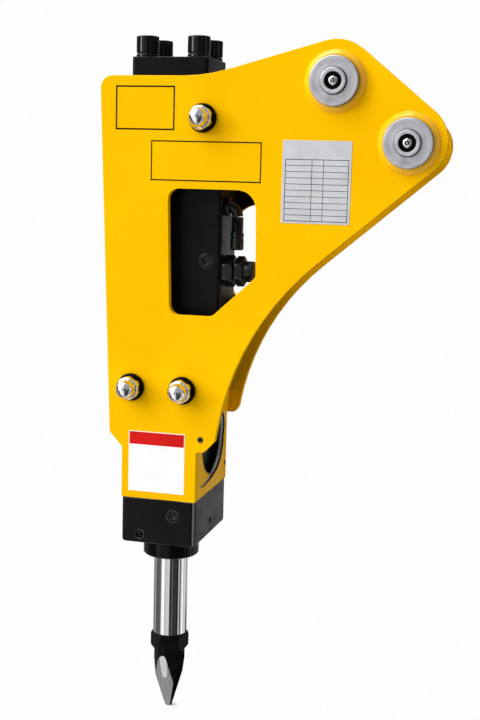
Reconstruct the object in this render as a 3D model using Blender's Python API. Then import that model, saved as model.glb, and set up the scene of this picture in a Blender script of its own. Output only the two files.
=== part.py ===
"""A side-mounted hydraulic breaker hammer for a mini excavator, built as it comes apart on a bench.

The origin is the arm pin's centre, midway between the two side plates. +Z is up along the tool,
+X runs from the tool towards the pins, and -Y is the front. Every piece is placed in the frame of
the tool axis, whose zero height is the bracket's foot, where the black front head begins.
"""

from math import acos, ceil, cos, pi, radians, sin, tan

import bmesh
import bpy
from mathutils import Matrix, Vector

# Clearances
SEAT_GAP = 0.0003
RUNNING_GAP = 0.0004
THREAD_GAP = 0.0003

# Facets of round pieces
FINE = 24
SMALL = 18
TINY = 12
ARC_SAG = 0.0003

# Bracket: frame and pins
BRACKET_DEPTH = 0.188
PLATE_THICKNESS = 0.0125
ARM_PIN_X = 0.282
ARM_PIN_Z = 0.688
PIN_PITCH = 0.149
PIN_LINE_DROP = radians(38)
PIN_RADIUS = 0.020
COLLAR_RADIUS = 0.0475
COLLAR_TOP_RADIUS = 0.0415
COLLAR_HEIGHT = 0.008
COLLAR_RIM = 0.002
DISC_RADIUS = 0.0385
DISC_THICKNESS = 0.010
DISC_CHAMFER = 0.002
PIN_END_PROUD = 0.006
PIN_END_CHAMFER = 0.0015
NIPPLE_WELL_RADIUS = 0.0125
NIPPLE_WELL_DEPTH = 0.008
NIPPLE_RADIUS = 0.0065
NIPPLE_HEIGHT = 0.010

# Bracket: outline of a side plate
PLATE_TOP_Z = 0.696
PLATE_TOP_LEFT_X = -0.1045
PLATE_TOP_LEFT_FILLET = 0.020
TOP_RISE = radians(15.8)
TOP_RISE_FILLET = 0.270
LEFT_FOOT_X = -0.0825
LEFT_FOOT_Z = 0.110
LEFT_FOOT_FILLET = 0.006
TONGUE_LEFT_X = -0.060
TONGUE_RIGHT_X = 0.070
TONGUE_SHOULDER_Z = 0.086
TONGUE_FILLET = 0.003
PIN_EDGE_DROP = radians(39.3)
LOWER_EDGE_RISE = radians(40.5)
LOBE_LEAN = radians(80)
LOBE_FILLET = 0.008
FRONT_ARM_EAR = 0.0645
FRONT_LINK_EAR = 0.058
FRONT_LOWER_EDGE_OFFSET = 0.0555
FRONT_THROAT_RADIUS = 0.460
FRONT_LOBE_X = 0.1016
FRONT_LOBE_Z = 0.107
FRONT_LOBE_FOOT_X = 0.083
FRONT_LOBE_FOOT_Z = 0.0865
REAR_ARM_EAR = 0.0505
REAR_LINK_EAR = 0.0516
REAR_LOWER_EDGE_OFFSET = 0.0515
REAR_THROAT_RADIUS = 0.425
REAR_LOBE_X = 0.0945
REAR_LOBE_Z = 0.134
REAR_LOBE_FOOT_X = 0.087
REAR_LOBE_FOOT_Z = 0.124
LOBE_HOLE_X = 0.0774
LOBE_HOLE_Z = 0.108
LOBE_HOLE_RADIUS = 0.004
EDGE_HOLE_Z = 0.029
EDGE_HOLE_RADIUS = 0.004
EDGE_HOLE_DEPTH = 0.014
EDGE_HOLE_INSET = 0.006

# Bracket: windows in the plates
FRONT_WINDOW_LEFT_TOP_X = 0.0135
FRONT_WINDOW_LEFT_FOOT_X = 0.0195
FRONT_WINDOW_TOP_Z = 0.518
FRONT_WINDOW_FOOT_Z = 0.313
REAR_WINDOW_LEFT_X = 0.077
REAR_WINDOW_TOP_Z = 0.492
REAR_WINDOW_FOOT_Z = 0.328
REAR_WINDOW_FILLET = 0.045
WINDOW_RIGHT_TOP_X = 0.160
WINDOW_RIGHT_FOOT_X = 0.1635
WINDOW_RIGHT_FOOT_Z = 0.3805
WINDOW_DIAGONAL = radians(43)
WINDOW_FILLET_SMALL = 0.010
WINDOW_FILLET = 0.017
WINDOW_FILLET_LARGE = 0.030

# Bracket: box walls round the front head
WALL_THICKNESS = 0.010
WALL_TOP_Z = 0.163
WALL_FLARE = 0.009
ROUND_HOLE_RADIUS = 0.056
ROUND_HOLE_Z = 0.086

# Body: back head, cylinder and front head
BODY_HALF_WIDTH = 0.065
BODY_HALF_DEPTH = 0.055
BODY_CORNER = 0.006
BACK_HEAD_TOP_Z = 0.729
BACK_HEAD_FOOT_Z = 0.662
CYLINDER_FOOT_Z = 0.2503
CHEST_X = 0.0935
CHEST_REAR_Y = 0.036
FLANGE_FOOT_GAP = 0.002
HEAD_HEIGHT = 0.078
HEAD_CORNER = 0.009
HEAD_FOOT_CHAMFER = 0.004
HEAD_NECK_DIP = 0.030

# Tie bolts
TIE_INSET_X = 0.021
TIE_INSET_Y = 0.0185
TIE_RADIUS = 0.0115
TIE_FOOT_Z = 0.212
TIE_HOLE_FOOT_GAP = 0.004
TIE_HEAD_RADIUS = 0.0186
TIE_HEAD_HEIGHT = 0.0282
TIE_HEAD_ROUND = 0.0025
TIE_SOCKET_RADIUS = 0.011
TIE_SOCKET_DEPTH = 0.012
TIE_WASHER_THICKNESS = 0.005

# Side bolts, through both plates and the body
SIDE_BOLT_RADIUS = 0.0105
UPPER_BOLT_X = 0.0704
UPPER_BOLT_Z = 0.630
LOWER_BOLT_INSET = 0.0205
LOWER_BOLT_Z = 0.189
UPPER_BOSS_RADIUS = 0.0192
SIDE_WASHER_RADIUS = 0.023
SIDE_WASHER_THICKNESS = 0.007
SIDE_NUT_ACROSS_FLATS = 0.036
SIDE_NUT_HEX_HEIGHT = 0.018
SIDE_NUT_DOME_RADIUS = 0.0172
SIDE_NUT_DOME_HEIGHT = 0.020
SIDE_NUT_DOME_STRAIGHT = 0.004
SIDE_THREAD_LENGTH = 0.020

# Percussion mechanism
PISTON_FOOT_RADIUS = 0.030
PISTON_LAND_RADIUS = 0.036
PISTON_TOP_RADIUS = 0.0255
PISTON_LAND_FOOT_Z = 0.300
PISTON_LAND_LENGTH = 0.090
PISTON_TOP_Z = 0.640
PISTON_STROKE = 0.070
PISTON_CHAMFER = 0.003
PISTON_GROOVE = 0.002
GAS_CHAMBER_RADIUS = 0.032
GAS_CHAMBER_ROOF = 0.012
SPOOL_X = 0.053
SPOOL_RADIUS = 0.008
SPOOL_NECK = 0.0055
SPOOL_LENGTH = 0.150
SPOOL_STROKE = 0.012
VALVE_PLUG_LENGTH = 0.024

# Tool and its bushes
TOOL_RADIUS = 0.030
TOOL_TOP_Z = 0.157
TOOL_TIP_Z = -0.403
TOOL_TRAVEL = 0.035
TOOL_CHAMFER = 0.004
TOOL_COLLAR_ACROSS_FLATS = 0.0586
TOOL_COLLAR_TURN = radians(-15)
TOOL_COLLAR_TOP_Z = -0.263
TOOL_COLLAR_FOOT_Z = -0.2935
TOOL_COLLAR_CHAMFER = 0.004
TOOL_POINT_RADIUS = 0.0272
TOOL_TIP_HALF_WIDTH = 0.0045
TOOL_FACET_SLOPE = 0.227
TOOL_FACET_TURN = radians(-7)
TOOL_FACETS = 4
BUSH_RADIUS = 0.042
BUSH_TOP_Z = 0.020
BUSH_FLANGE_RADIUS = 0.0489
BUSH_FLANGE_HEIGHT = 0.040
BUSH_FLANGE_CHAMFER = 0.003
SEAL_RADIUS = 0.040
SEAL_HEIGHT = 0.010
THRUST_BUSH_RADIUS = 0.0397
THRUST_BUSH_FOOT_Z = 0.085
THRUST_BUSH_TOP_Z = 0.150
RETAINER_RADIUS = 0.010
RETAINER_X = 0.0315
RETAINER_Z = -0.0266
RETAINER_SETBACK = 0.006
RETAINER_PLUG_LENGTH = 0.004
LOCK_PIN_RADIUS = 0.006
LOCK_PIN_Z = -0.0536
LOCK_PIN_SETBACK = 0.004
HEAD_NIPPLE_X = -0.0266
HEAD_NIPPLE_Z = -0.0629
HEAD_NIPPLE_WELL = 0.0075
HEAD_NIPPLE_RADIUS = 0.0055
HEAD_NIPPLE_DEPTH = 0.012

# Hydraulic ports and plugs on the valve chest
PORT_Y = -0.027
PORT_RADIUS = 0.012
PORT_DEPTH = 0.012
INLET_Z = 0.384
INLET_HEX_ACROSS_FLATS = 0.046
INLET_HEX_LENGTH = 0.018
INLET_STUB_RADIUS = 0.0125
INLET_STUB_LENGTH = 0.024
INLET_CAP_GAP = 0.003
INLET_CAP_HEX_ACROSS_FLATS = 0.044
INLET_CAP_HEX_LENGTH = 0.0138
INLET_CAP_RADIUS = 0.0175
INLET_CAP_LENGTH = 0.030
INLET_CAP_CHAMFER = 0.003
OUTLET_Z = 0.490
OUTLET_HEX_ACROSS_FLATS = 0.030
OUTLET_HEX_LENGTH = 0.008
OUTLET_DROP_X = 0.1135
OUTLET_RADIUS = 0.0090
OUTLET_DROP = 0.054
OUTLET_CAP_RADIUS = 0.0110
OUTLET_CAP_GRIP = 0.012
OUTLET_CAP_END = 0.017
CHEST_PLUG_X = 0.069
CHEST_PLUG_Z = 0.4005
CHEST_PLUG_RADIUS = 0.0115
CHEST_PLUG_PROUD = 0.002
CHEST_PLUG_DEPTH = 0.008
CHEST_PLUG_SOCKET = 0.0055
GAS_VALVE_Z = 0.697
GAS_VALVE_RADIUS = 0.008
GAS_VALVE_HEAD_RADIUS = 0.0125
GAS_VALVE_HEAD = 0.008
GAS_VALVE_DEPTH = 0.015

# How far a cutter runs past the wall that it cuts
CUT_PAST = 0.004

# Places worked out from the sizes above
OUTER_Y = BRACKET_DEPTH / 2
INNER_Y = OUTER_Y - PLATE_THICKNESS
SEATED_Y = INNER_Y - SEAT_GAP
ARM_PIN = Vector((ARM_PIN_X, ARM_PIN_Z))
LINK_PIN = ARM_PIN + PIN_PITCH * Vector((cos(PIN_LINE_DROP), -sin(PIN_LINE_DROP)))
COLLAR_Y = OUTER_Y + SEAT_GAP
DISC_Y = COLLAR_Y + COLLAR_HEIGHT + SEAT_GAP
PIN_END_Y = DISC_Y + DISC_THICKNESS + PIN_END_PROUD
FLANGE_FOOT_Z = WALL_TOP_Z + FLANGE_FOOT_GAP
FRONT_HEAD_TOP_Z = CYLINDER_FOOT_Z - SEAT_GAP
CYLINDER_TOP_Z = BACK_HEAD_FOOT_Z - SEAT_GAP
HEAD_FOOT_Z = -SEAT_GAP - HEAD_HEIGHT
TIE_HEAD_Z = BACK_HEAD_TOP_Z + SEAT_GAP + TIE_WASHER_THICKNESS + SEAT_GAP
TIE_X = BODY_HALF_WIDTH - TIE_INSET_X
TIE_Y = BODY_HALF_DEPTH - TIE_INSET_Y
LOWER_BOLT_X = BODY_HALF_WIDTH - LOWER_BOLT_INSET
OUTLET_FOOT_Z = OUTLET_Z - OUTLET_DROP
LAND_BORE_TOP_Z = PISTON_LAND_FOOT_Z + SEAT_GAP + PISTON_LAND_LENGTH + PISTON_STROKE + SEAT_GAP
SIDE_BOLTS = {
    "upper": (UPPER_BOLT_X, UPPER_BOLT_Z),
    "lower_left": (-LOWER_BOLT_X, LOWER_BOLT_Z),
    "lower_right": (LOWER_BOLT_X, LOWER_BOLT_Z),
}
TIE_CORNERS = {
    "front_left": (-TIE_X, -TIE_Y),
    "front_right": (TIE_X, -TIE_Y),
    "rear_left": (-TIE_X, TIE_Y),
    "rear_right": (TIE_X, TIE_Y),
}

# Directions in which a turned piece's own +Z can point
TURN = {
    "up": (0, 0, 0),
    "right": (0, pi / 2, 0),
    "left": (0, -pi / 2, 0),
    "front": (pi / 2, 0, 0),
    "rear": (-pi / 2, 0, 0),
}


def clear_scene():
    for obj in list(bpy.data.objects):
        bpy.data.objects.remove(obj)


def material(name, colour, roughness, metallic):
    made = bpy.data.materials.new(name)
    made.use_nodes = True
    shader = made.node_tree.nodes["Principled BSDF"]
    shader.inputs["Base Color"].default_value = (*colour, 1)
    shader.inputs["Roughness"].default_value = roughness
    shader.inputs["Metallic"].default_value = metallic
    return made


def empty(name, place, parent=None):
    made = bpy.data.objects.new(name, None)
    made.location = place
    made.parent = parent
    bpy.context.collection.objects.link(made)
    return made


def finish(mesh_build, name, finish_material, parent, smooth=True):
    """One named object from a bmesh, with its faces pointing out."""
    bmesh.ops.recalc_face_normals(mesh_build, faces=mesh_build.faces)
    mesh = bpy.data.meshes.new(name)
    mesh_build.to_mesh(mesh)
    mesh_build.free()
    if smooth:
        mesh.shade_smooth()
        mesh.set_sharp_from_angle(angle=radians(35))
    made = bpy.data.objects.new(name, mesh)
    if finish_material:
        mesh.materials.append(finish_material)
    made.parent = parent
    bpy.context.collection.objects.link(made)
    return made


def fillet_arc(before, corner, after, radius):
    """Points of the arc of this radius that rounds off a corner between two straight runs."""
    arriving = (corner - before).normalized()
    leaving = (after - corner).normalized()
    turn = acos(max(-1.0, min(1.0, arriving.dot(leaving))))
    side = 1 if arriving.x * leaving.y - arriving.y * leaving.x > 0 else -1
    start = corner - arriving * radius * tan(turn / 2)
    centre = start + Vector((-arriving.y, arriving.x)) * radius * side
    steps = max(2, ceil(turn / (2 * acos(1 - ARC_SAG / radius))))
    spoke = start - centre
    return [centre + Matrix.Rotation(side * turn * i / steps, 2) @ spoke for i in range(steps + 1)]


def rounded(corners):
    """An outline from (x, y, fillet radius) corners, with its round stretches as arcs."""
    places = [Vector(corner[:2]) for corner in corners]
    outline = []
    for i, (x, y, radius) in enumerate(corners):
        after = places[(i + 1) % len(places)]
        if radius:
            outline += fillet_arc(places[i - 1], places[i], after, radius)
        else:
            outline.append(places[i])
    return outline


def meet(point_a, angle_a, point_b, angle_b):
    """Where two lines cross, each given by a point and the angle of its run."""
    run_a = Vector((cos(angle_a), sin(angle_a)))
    run_b = Vector((cos(angle_b), sin(angle_b)))
    gap = point_b - point_a
    along = (gap.x * run_b.y - gap.y * run_b.x) / (run_a.x * run_b.y - run_a.y * run_b.x)
    return point_a + run_a * along


def tangent_point(centre, radius, angle):
    """The point where a line of this angle touches the circle on the line's left, seen along it."""
    return centre + Vector((sin(angle), -cos(angle))) * radius


def prism(name, outline, low, high, along, finish_material, parent):
    """An outline run from low to high: (x, y) along Z, (x, z) along Y, or (y, z) along X."""
    place = {
        "Z": lambda p, h: (p[0], p[1], h),
        "Y": lambda p, h: (p[0], h, p[1]),
        "X": lambda p, h: (h, p[0], p[1]),
    }[along]
    build = bmesh.new()
    foot = [build.verts.new(place(point, low)) for point in outline]
    head = [build.verts.new(place(point, high)) for point in outline]
    build.faces.new(foot)
    build.faces.new(head)
    for i in range(len(outline)):
        after = (i + 1) % len(outline)
        build.faces.new((foot[i], foot[after], head[after], head[i]))
    return finish(build, name, finish_material, parent)


def ring_points(size, count, shape="round", turn=0.0):
    """Points round a circle of this radius, or round a hexagon of this across-flats and turn."""
    points = []
    for i in range(count):
        angle = 2 * pi * i / count
        if shape == "hex":
            off_flat = (angle - turn + pi / 6) % (pi / 3) - pi / 6
            reach = size / 2 / cos(off_flat)
        else:
            reach = size
        points.append((reach * cos(angle), reach * sin(angle)))
    return points


def lofted(name, rings, count, finish_material, parent, place=(0, 0, 0), turn="up", hollow=False):
    """A solid through rings of (size, height), optionally with "hex" and its turn, capped or hollow."""
    build = bmesh.new()
    loops = []
    for size, height, *shape in rings:
        loops.append([build.verts.new((x, y, height)) for x, y in ring_points(size, count, *shape)])
    pairs = list(zip(loops, loops[1:]))
    if hollow:
        pairs.append((loops[-1], loops[0]))
    else:
        build.faces.new(loops[0])
        build.faces.new(loops[-1])
    for one, two in pairs:
        for i in range(count):
            after = (i + 1) % count
            build.faces.new((one[i], one[after], two[after], two[i]))
    made = finish(build, name, finish_material, parent)
    made.location = place
    made.rotation_euler = TURN[turn]
    return made


def cut(target, cutter, operation="DIFFERENCE"):
    """Leaves a Boolean on the target and hides the piece that it uses."""
    change = target.modifiers.new(cutter.name, "BOOLEAN")
    change.operation = operation
    change.object = cutter
    change.solver = "EXACT"
    cutter.hide_render = True
    cutter.display_type = "WIRE"


def drill(target, name, radius, place, low, high, turn, count=SMALL):
    """A round hole from low to high along the turn's direction, through a point."""
    drill_bit = lofted(name, [(radius, low), (radius, high)], count, None, target.parent, place, turn)
    cut(target, drill_bit)


def ring_washer(name, inner, outer, thickness, count, finish_material, parent, place, turn):
    rings = [(inner, 0), (outer, 0), (outer, thickness), (inner, thickness)]
    return lofted(name, rings, count, finish_material, parent, place, turn, hollow=True)


def plate_outline(arm_ear, link_ear, lower_edge_offset, throat_radius, lobe, lobe_foot):
    """A side plate's edge, clockwise from its top left corner."""
    top = Vector((PLATE_TOP_LEFT_X, PLATE_TOP_Z))
    rise_at = tangent_point(ARM_PIN, -arm_ear, TOP_RISE)
    pins_at = tangent_point(ARM_PIN, -arm_ear, -PIN_EDGE_DROP)
    lower_at = tangent_point(LINK_PIN, lower_edge_offset, LOWER_EDGE_RISE)
    rise_start = meet(top, 0, rise_at, TOP_RISE)
    arm_corner = meet(rise_at, TOP_RISE, pins_at, -PIN_EDGE_DROP)
    link_corner = meet(pins_at, -PIN_EDGE_DROP, lower_at, LOWER_EDGE_RISE)
    throat = meet(lower_at, LOWER_EDGE_RISE, lobe, LOBE_LEAN)
    return rounded(
        [
            (*top, PLATE_TOP_LEFT_FILLET),
            (*rise_start, TOP_RISE_FILLET),
            (*arm_corner, arm_ear),
            (*link_corner, link_ear),
            (*throat, throat_radius),
            (*lobe, LOBE_FILLET),
            (*lobe_foot, LOBE_FILLET),
            (TONGUE_RIGHT_X, lobe_foot.y, TONGUE_FILLET),
            (TONGUE_RIGHT_X, 0, 0),
            (TONGUE_LEFT_X, 0, 0),
            (TONGUE_LEFT_X, TONGUE_SHOULDER_Z, TONGUE_FILLET),
            (LEFT_FOOT_X, LEFT_FOOT_Z, LEFT_FOOT_FILLET),
        ]
    )


def window_outline(left_top_x, left_foot_x, top_z, foot_z, top_left_fillet, foot_left_fillet):
    diagonal_run = (WINDOW_RIGHT_FOOT_Z - foot_z) / tan(WINDOW_DIAGONAL)
    return rounded(
        [
            (left_top_x, top_z, top_left_fillet),
            (WINDOW_RIGHT_TOP_X, top_z, WINDOW_FILLET_LARGE),
            (WINDOW_RIGHT_FOOT_X, WINDOW_RIGHT_FOOT_Z, WINDOW_FILLET_SMALL),
            (WINDOW_RIGHT_FOOT_X - diagonal_run, foot_z, WINDOW_FILLET),
            (left_foot_x, foot_z, foot_left_fillet),
        ]
    )


def make_side_plate(name, outline, window, low_y, high_y, paint, frame):
    """A flame-cut plate with its window, two pin bores and three side bolt holes."""
    plate = prism(name, outline, low_y, high_y, "Y", paint, frame)
    opening = prism(name + "_window", window, low_y - CUT_PAST, high_y + CUT_PAST, "Y", None, frame)
    cut(plate, opening)
    low, high = -high_y - CUT_PAST, -low_y + CUT_PAST
    for pin_name, pin in (("arm", ARM_PIN), ("link", LINK_PIN)):
        bore = PIN_RADIUS + RUNNING_GAP
        drill(plate, f"{name}_{pin_name}_bore", bore, (pin.x, 0, pin.y), low, high, "front", FINE)
    for bolt_name, (x, z) in SIDE_BOLTS.items():
        hole = SIDE_BOLT_RADIUS + THREAD_GAP
        drill(plate, f"{name}_{bolt_name}_hole", hole, (x, 0, z), low, high, "front", TINY)
    return plate


def make_plates(paint, frame):
    """The front plate, and the rear one with its smaller ears, higher lobe and smaller window."""
    front_outline = plate_outline(
        FRONT_ARM_EAR,
        FRONT_LINK_EAR,
        FRONT_LOWER_EDGE_OFFSET,
        FRONT_THROAT_RADIUS,
        Vector((FRONT_LOBE_X, FRONT_LOBE_Z)),
        Vector((FRONT_LOBE_FOOT_X, FRONT_LOBE_FOOT_Z)),
    )
    front_window = window_outline(
        FRONT_WINDOW_LEFT_TOP_X,
        FRONT_WINDOW_LEFT_FOOT_X,
        FRONT_WINDOW_TOP_Z,
        FRONT_WINDOW_FOOT_Z,
        WINDOW_FILLET,
        WINDOW_FILLET,
    )
    front = make_side_plate("side_plate_front", front_outline, front_window, -OUTER_Y, -INNER_Y, paint, frame)
    low, high = INNER_Y - CUT_PAST, OUTER_Y + CUT_PAST
    drill(front, "lobe_hole", LOBE_HOLE_RADIUS, (LOBE_HOLE_X, 0, LOBE_HOLE_Z), low, high, "front", TINY)
    rear_outline = plate_outline(
        REAR_ARM_EAR,
        REAR_LINK_EAR,
        REAR_LOWER_EDGE_OFFSET,
        REAR_THROAT_RADIUS,
        Vector((REAR_LOBE_X, REAR_LOBE_Z)),
        Vector((REAR_LOBE_FOOT_X, REAR_LOBE_FOOT_Z)),
    )
    rear_window = window_outline(
        REAR_WINDOW_LEFT_X,
        REAR_WINDOW_LEFT_X,
        REAR_WINDOW_TOP_Z,
        REAR_WINDOW_FOOT_Z,
        REAR_WINDOW_FILLET,
        WINDOW_FILLET,
    )
    rear = make_side_plate("side_plate_rear", rear_outline, rear_window, INNER_Y, OUTER_Y, paint, frame)
    edge_place = (TONGUE_RIGHT_X, INNER_Y + EDGE_HOLE_INSET, EDGE_HOLE_Z)
    drill(rear, "edge_hole", EDGE_HOLE_RADIUS, edge_place, -EDGE_HOLE_DEPTH, CUT_PAST, "right", TINY)


def make_walls(paint, frame):
    """The box walls between the plates. The right one flares at its top and has a round hole."""
    right = [
        (TONGUE_RIGHT_X - WALL_THICKNESS, 0),
        (TONGUE_RIGHT_X, 0),
        (TONGUE_RIGHT_X, TONGUE_SHOULDER_Z),
        (TONGUE_RIGHT_X + WALL_FLARE, WALL_TOP_Z),
        (TONGUE_RIGHT_X + WALL_FLARE - WALL_THICKNESS, WALL_TOP_Z),
        (TONGUE_RIGHT_X - WALL_THICKNESS, TONGUE_SHOULDER_Z),
    ]
    wall = prism("box_wall_right", right, -SEATED_Y, SEATED_Y, "Y", paint, frame)
    hole_place = (TONGUE_RIGHT_X, 0, ROUND_HOLE_Z)
    past = WALL_THICKNESS + WALL_FLARE + CUT_PAST
    drill(wall, "round_hole", ROUND_HOLE_RADIUS, hole_place, -past, past, "right", FINE)
    left = [
        (TONGUE_LEFT_X, 0),
        (TONGUE_LEFT_X + WALL_THICKNESS, 0),
        (TONGUE_LEFT_X + WALL_THICKNESS, WALL_TOP_Z),
        (TONGUE_LEFT_X, WALL_TOP_Z),
    ]
    prism("box_wall_left", left, -SEATED_Y, SEATED_Y, "Y", paint, frame)


def make_pin(label, pin, paint, steel, frame):
    """A bracket pin with a weld-on collar and a retaining disc at each end, and its grease nipple."""
    hub = empty(label + "_pin_axis", (pin.x, 0, pin.y), frame)
    bore = PIN_RADIUS + RUNNING_GAP
    for side, turn in (("front", "front"), ("rear", "rear")):
        collar_place = (0, -COLLAR_Y if side == "front" else COLLAR_Y, 0)
        collar_rings = [
            (bore, 0),
            (COLLAR_RADIUS, 0),
            (COLLAR_RADIUS, COLLAR_RIM),
            (COLLAR_TOP_RADIUS, COLLAR_HEIGHT),
            (bore, COLLAR_HEIGHT),
        ]
        lofted(f"{label}_collar_{side}", collar_rings, FINE, paint, hub, collar_place, turn, hollow=True)
        disc_place = (0, -DISC_Y if side == "front" else DISC_Y, 0)
        disc_rings = [
            (PIN_RADIUS + SEAT_GAP, 0),
            (DISC_RADIUS, 0),
            (DISC_RADIUS, DISC_THICKNESS - DISC_CHAMFER),
            (DISC_RADIUS - DISC_CHAMFER, DISC_THICKNESS),
            (PIN_RADIUS + SEAT_GAP, DISC_THICKNESS),
        ]
        lofted(f"{label}_disc_{side}", disc_rings, FINE, steel, hub, disc_place, turn, hollow=True)
    well_foot = PIN_END_Y - NIPPLE_WELL_DEPTH
    pin_rings = [
        (PIN_RADIUS - PIN_END_CHAMFER, -PIN_END_Y),
        (PIN_RADIUS, -PIN_END_Y + PIN_END_CHAMFER),
        (PIN_RADIUS, PIN_END_Y - PIN_END_CHAMFER),
        (PIN_RADIUS - PIN_END_CHAMFER, PIN_END_Y),
        (NIPPLE_WELL_RADIUS, PIN_END_Y),
        (NIPPLE_WELL_RADIUS, well_foot),
    ]
    lofted(f"{label}_pin", pin_rings, FINE, steel, hub, (0, 0, 0), "front")
    nipple_place = (0, -well_foot - SEAT_GAP, 0)
    make_nipple(f"{label}_nipple", NIPPLE_RADIUS, NIPPLE_HEIGHT, steel, hub, nipple_place)


def make_nipple(name, radius, height, steel, parent, place):
    """A grease nipple: a hexagon foot, a neck and a round tip, facing the front."""
    rings = [
        (radius * 2, 0, "hex"),
        (radius * 2, height * 0.4, "hex"),
        (radius * 0.6, height * 0.5),
        (radius * 0.5, height * 0.7),
        (radius * 0.65, height * 0.85),
        (radius * 0.4, height),
    ]
    lofted(name, rings, TINY, steel, parent, place, "front")


def make_back_head(black, frame):
    """The gas chamber block on top, clamped by the tie bolts."""
    w, d, r = BODY_HALF_WIDTH, BODY_HALF_DEPTH, BODY_CORNER
    outline = rounded([(-w, -d, r), (w, -d, r), (w, d, r), (-w, d, r)])
    head = prism("back_head", outline, BACK_HEAD_FOOT_Z, BACK_HEAD_TOP_Z, "Z", black, frame)
    chamber_roof = BACK_HEAD_TOP_Z - GAS_CHAMBER_ROOF
    drill(head, "gas_chamber", GAS_CHAMBER_RADIUS, (0, 0, 0), BACK_HEAD_FOOT_Z - CUT_PAST, chamber_roof, "up")
    drill_tie_holes(head, BACK_HEAD_FOOT_Z - CUT_PAST, BACK_HEAD_TOP_Z + CUT_PAST)
    valve_place = (-BODY_HALF_WIDTH, 0, GAS_VALVE_Z)
    valve_hole = GAS_VALVE_RADIUS + THREAD_GAP
    drill(head, "gas_valve_hole", valve_hole, valve_place, -GAS_VALVE_DEPTH, CUT_PAST, "left", TINY)


def drill_tie_holes(target, low, high):
    hole = TIE_RADIUS + THREAD_GAP
    for corner, (x, y) in TIE_CORNERS.items():
        drill(target, f"{target.name}_tie_{corner}", hole, (x, y, 0), low, high, "up")


def make_gas_valve(steel, frame):
    rings = [
        (GAS_VALVE_RADIUS, -GAS_VALVE_DEPTH + SEAT_GAP),
        (GAS_VALVE_RADIUS, SEAT_GAP),
        (GAS_VALVE_HEAD_RADIUS * 2, SEAT_GAP, "hex"),
        (GAS_VALVE_HEAD_RADIUS * 2, GAS_VALVE_HEAD, "hex"),
        (GAS_VALVE_RADIUS, GAS_VALVE_HEAD),
        (GAS_VALVE_RADIUS, GAS_VALVE_HEAD * 1.5),
    ]
    lofted("gas_valve", rings, TINY, steel, frame, (-BODY_HALF_WIDTH, 0, GAS_VALVE_Z), "left")


def make_cylinder(black, frame):
    """The cylinder block with its valve chest on the right, where the ports and the upper side bolt are."""
    w, d, r = BODY_HALF_WIDTH, BODY_HALF_DEPTH, BODY_CORNER
    outline = rounded(
        [
            (-w, -d, r),
            (CHEST_X, -d, r),
            (CHEST_X, CHEST_REAR_Y, r),
            (w, CHEST_REAR_Y, r),
            (w, d, r),
            (-w, d, r),
        ]
    )
    block = prism("cylinder", outline, CYLINDER_FOOT_Z, CYLINDER_TOP_Z, "Z", black, frame)
    boss_rings = [(UPPER_BOSS_RADIUS, -SEATED_Y), (UPPER_BOSS_RADIUS, SEATED_Y)]
    boss = lofted("upper_boss", boss_rings, SMALL, None, frame, (UPPER_BOLT_X, 0, UPPER_BOLT_Z), "front")
    cut(block, boss, "UNION")
    foot_bore = PISTON_FOOT_RADIUS + RUNNING_GAP
    land_bore = PISTON_LAND_RADIUS + RUNNING_GAP
    foot = CYLINDER_FOOT_Z - CUT_PAST
    drill(block, "foot_bore", foot_bore, (0, 0, 0), foot, PISTON_LAND_FOOT_Z + CUT_PAST, "up")
    drill(block, "land_bore", land_bore, (0, 0, 0), PISTON_LAND_FOOT_Z, CYLINDER_TOP_Z + CUT_PAST, "up")
    drill_tie_holes(block, foot, CYLINDER_TOP_Z + CUT_PAST)
    bolt_hole = SIDE_BOLT_RADIUS + THREAD_GAP
    reach = SEATED_Y + CUT_PAST
    drill(block, "upper_bolt_hole", bolt_hole, (UPPER_BOLT_X, 0, UPPER_BOLT_Z), -reach, reach, "front", TINY)
    spool_bore = SPOOL_RADIUS + RUNNING_GAP
    spool_roof = spool_foot_z() + SPOOL_LENGTH + SPOOL_STROKE + SEAT_GAP
    drill(block, "spool_bore", spool_bore, (SPOOL_X, 0, 0), foot, spool_roof, "up", TINY)
    port_hole = PORT_RADIUS + THREAD_GAP
    port_end = -PORT_DEPTH - SEAT_GAP
    for port, z in (("inlet", INLET_Z), ("outlet", OUTLET_Z)):
        drill(block, port + "_port", port_hole, (CHEST_X, PORT_Y, z), port_end, CUT_PAST, "right")
    plug_place = (CHEST_PLUG_X, -BODY_HALF_DEPTH, CHEST_PLUG_Z)
    plug_hole = CHEST_PLUG_RADIUS + THREAD_GAP
    plug_end = -CHEST_PLUG_DEPTH - SEAT_GAP
    drill(block, "chest_plug_hole", plug_hole, plug_place, plug_end, CUT_PAST, "front")


def spool_foot_z():
    return CYLINDER_FOOT_Z + SEAT_GAP + VALVE_PLUG_LENGTH + SEAT_GAP


def make_valve(steel, frame):
    """The control valve: a spool that slides in the block, and the plug that closes its bore."""
    axis = empty("spool_axis", (SPOOL_X, 0, spool_foot_z()), frame)
    land = SPOOL_LENGTH / 5
    rings = [
        (SPOOL_RADIUS, 0),
        (SPOOL_RADIUS, land),
        (SPOOL_NECK, land),
        (SPOOL_NECK, 2 * land),
        (SPOOL_RADIUS, 2 * land),
        (SPOOL_RADIUS, 3 * land),
        (SPOOL_NECK, 3 * land),
        (SPOOL_NECK, 4 * land),
        (SPOOL_RADIUS, 4 * land),
        (SPOOL_RADIUS, SPOOL_LENGTH),
    ]
    lofted("valve_spool", rings, TINY, steel, axis)
    plug_rings = [(SPOOL_RADIUS, 0), (SPOOL_RADIUS, VALVE_PLUG_LENGTH)]
    lofted("valve_plug", plug_rings, TINY, steel, frame, (SPOOL_X, 0, CYLINDER_FOOT_Z + SEAT_GAP))


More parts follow.
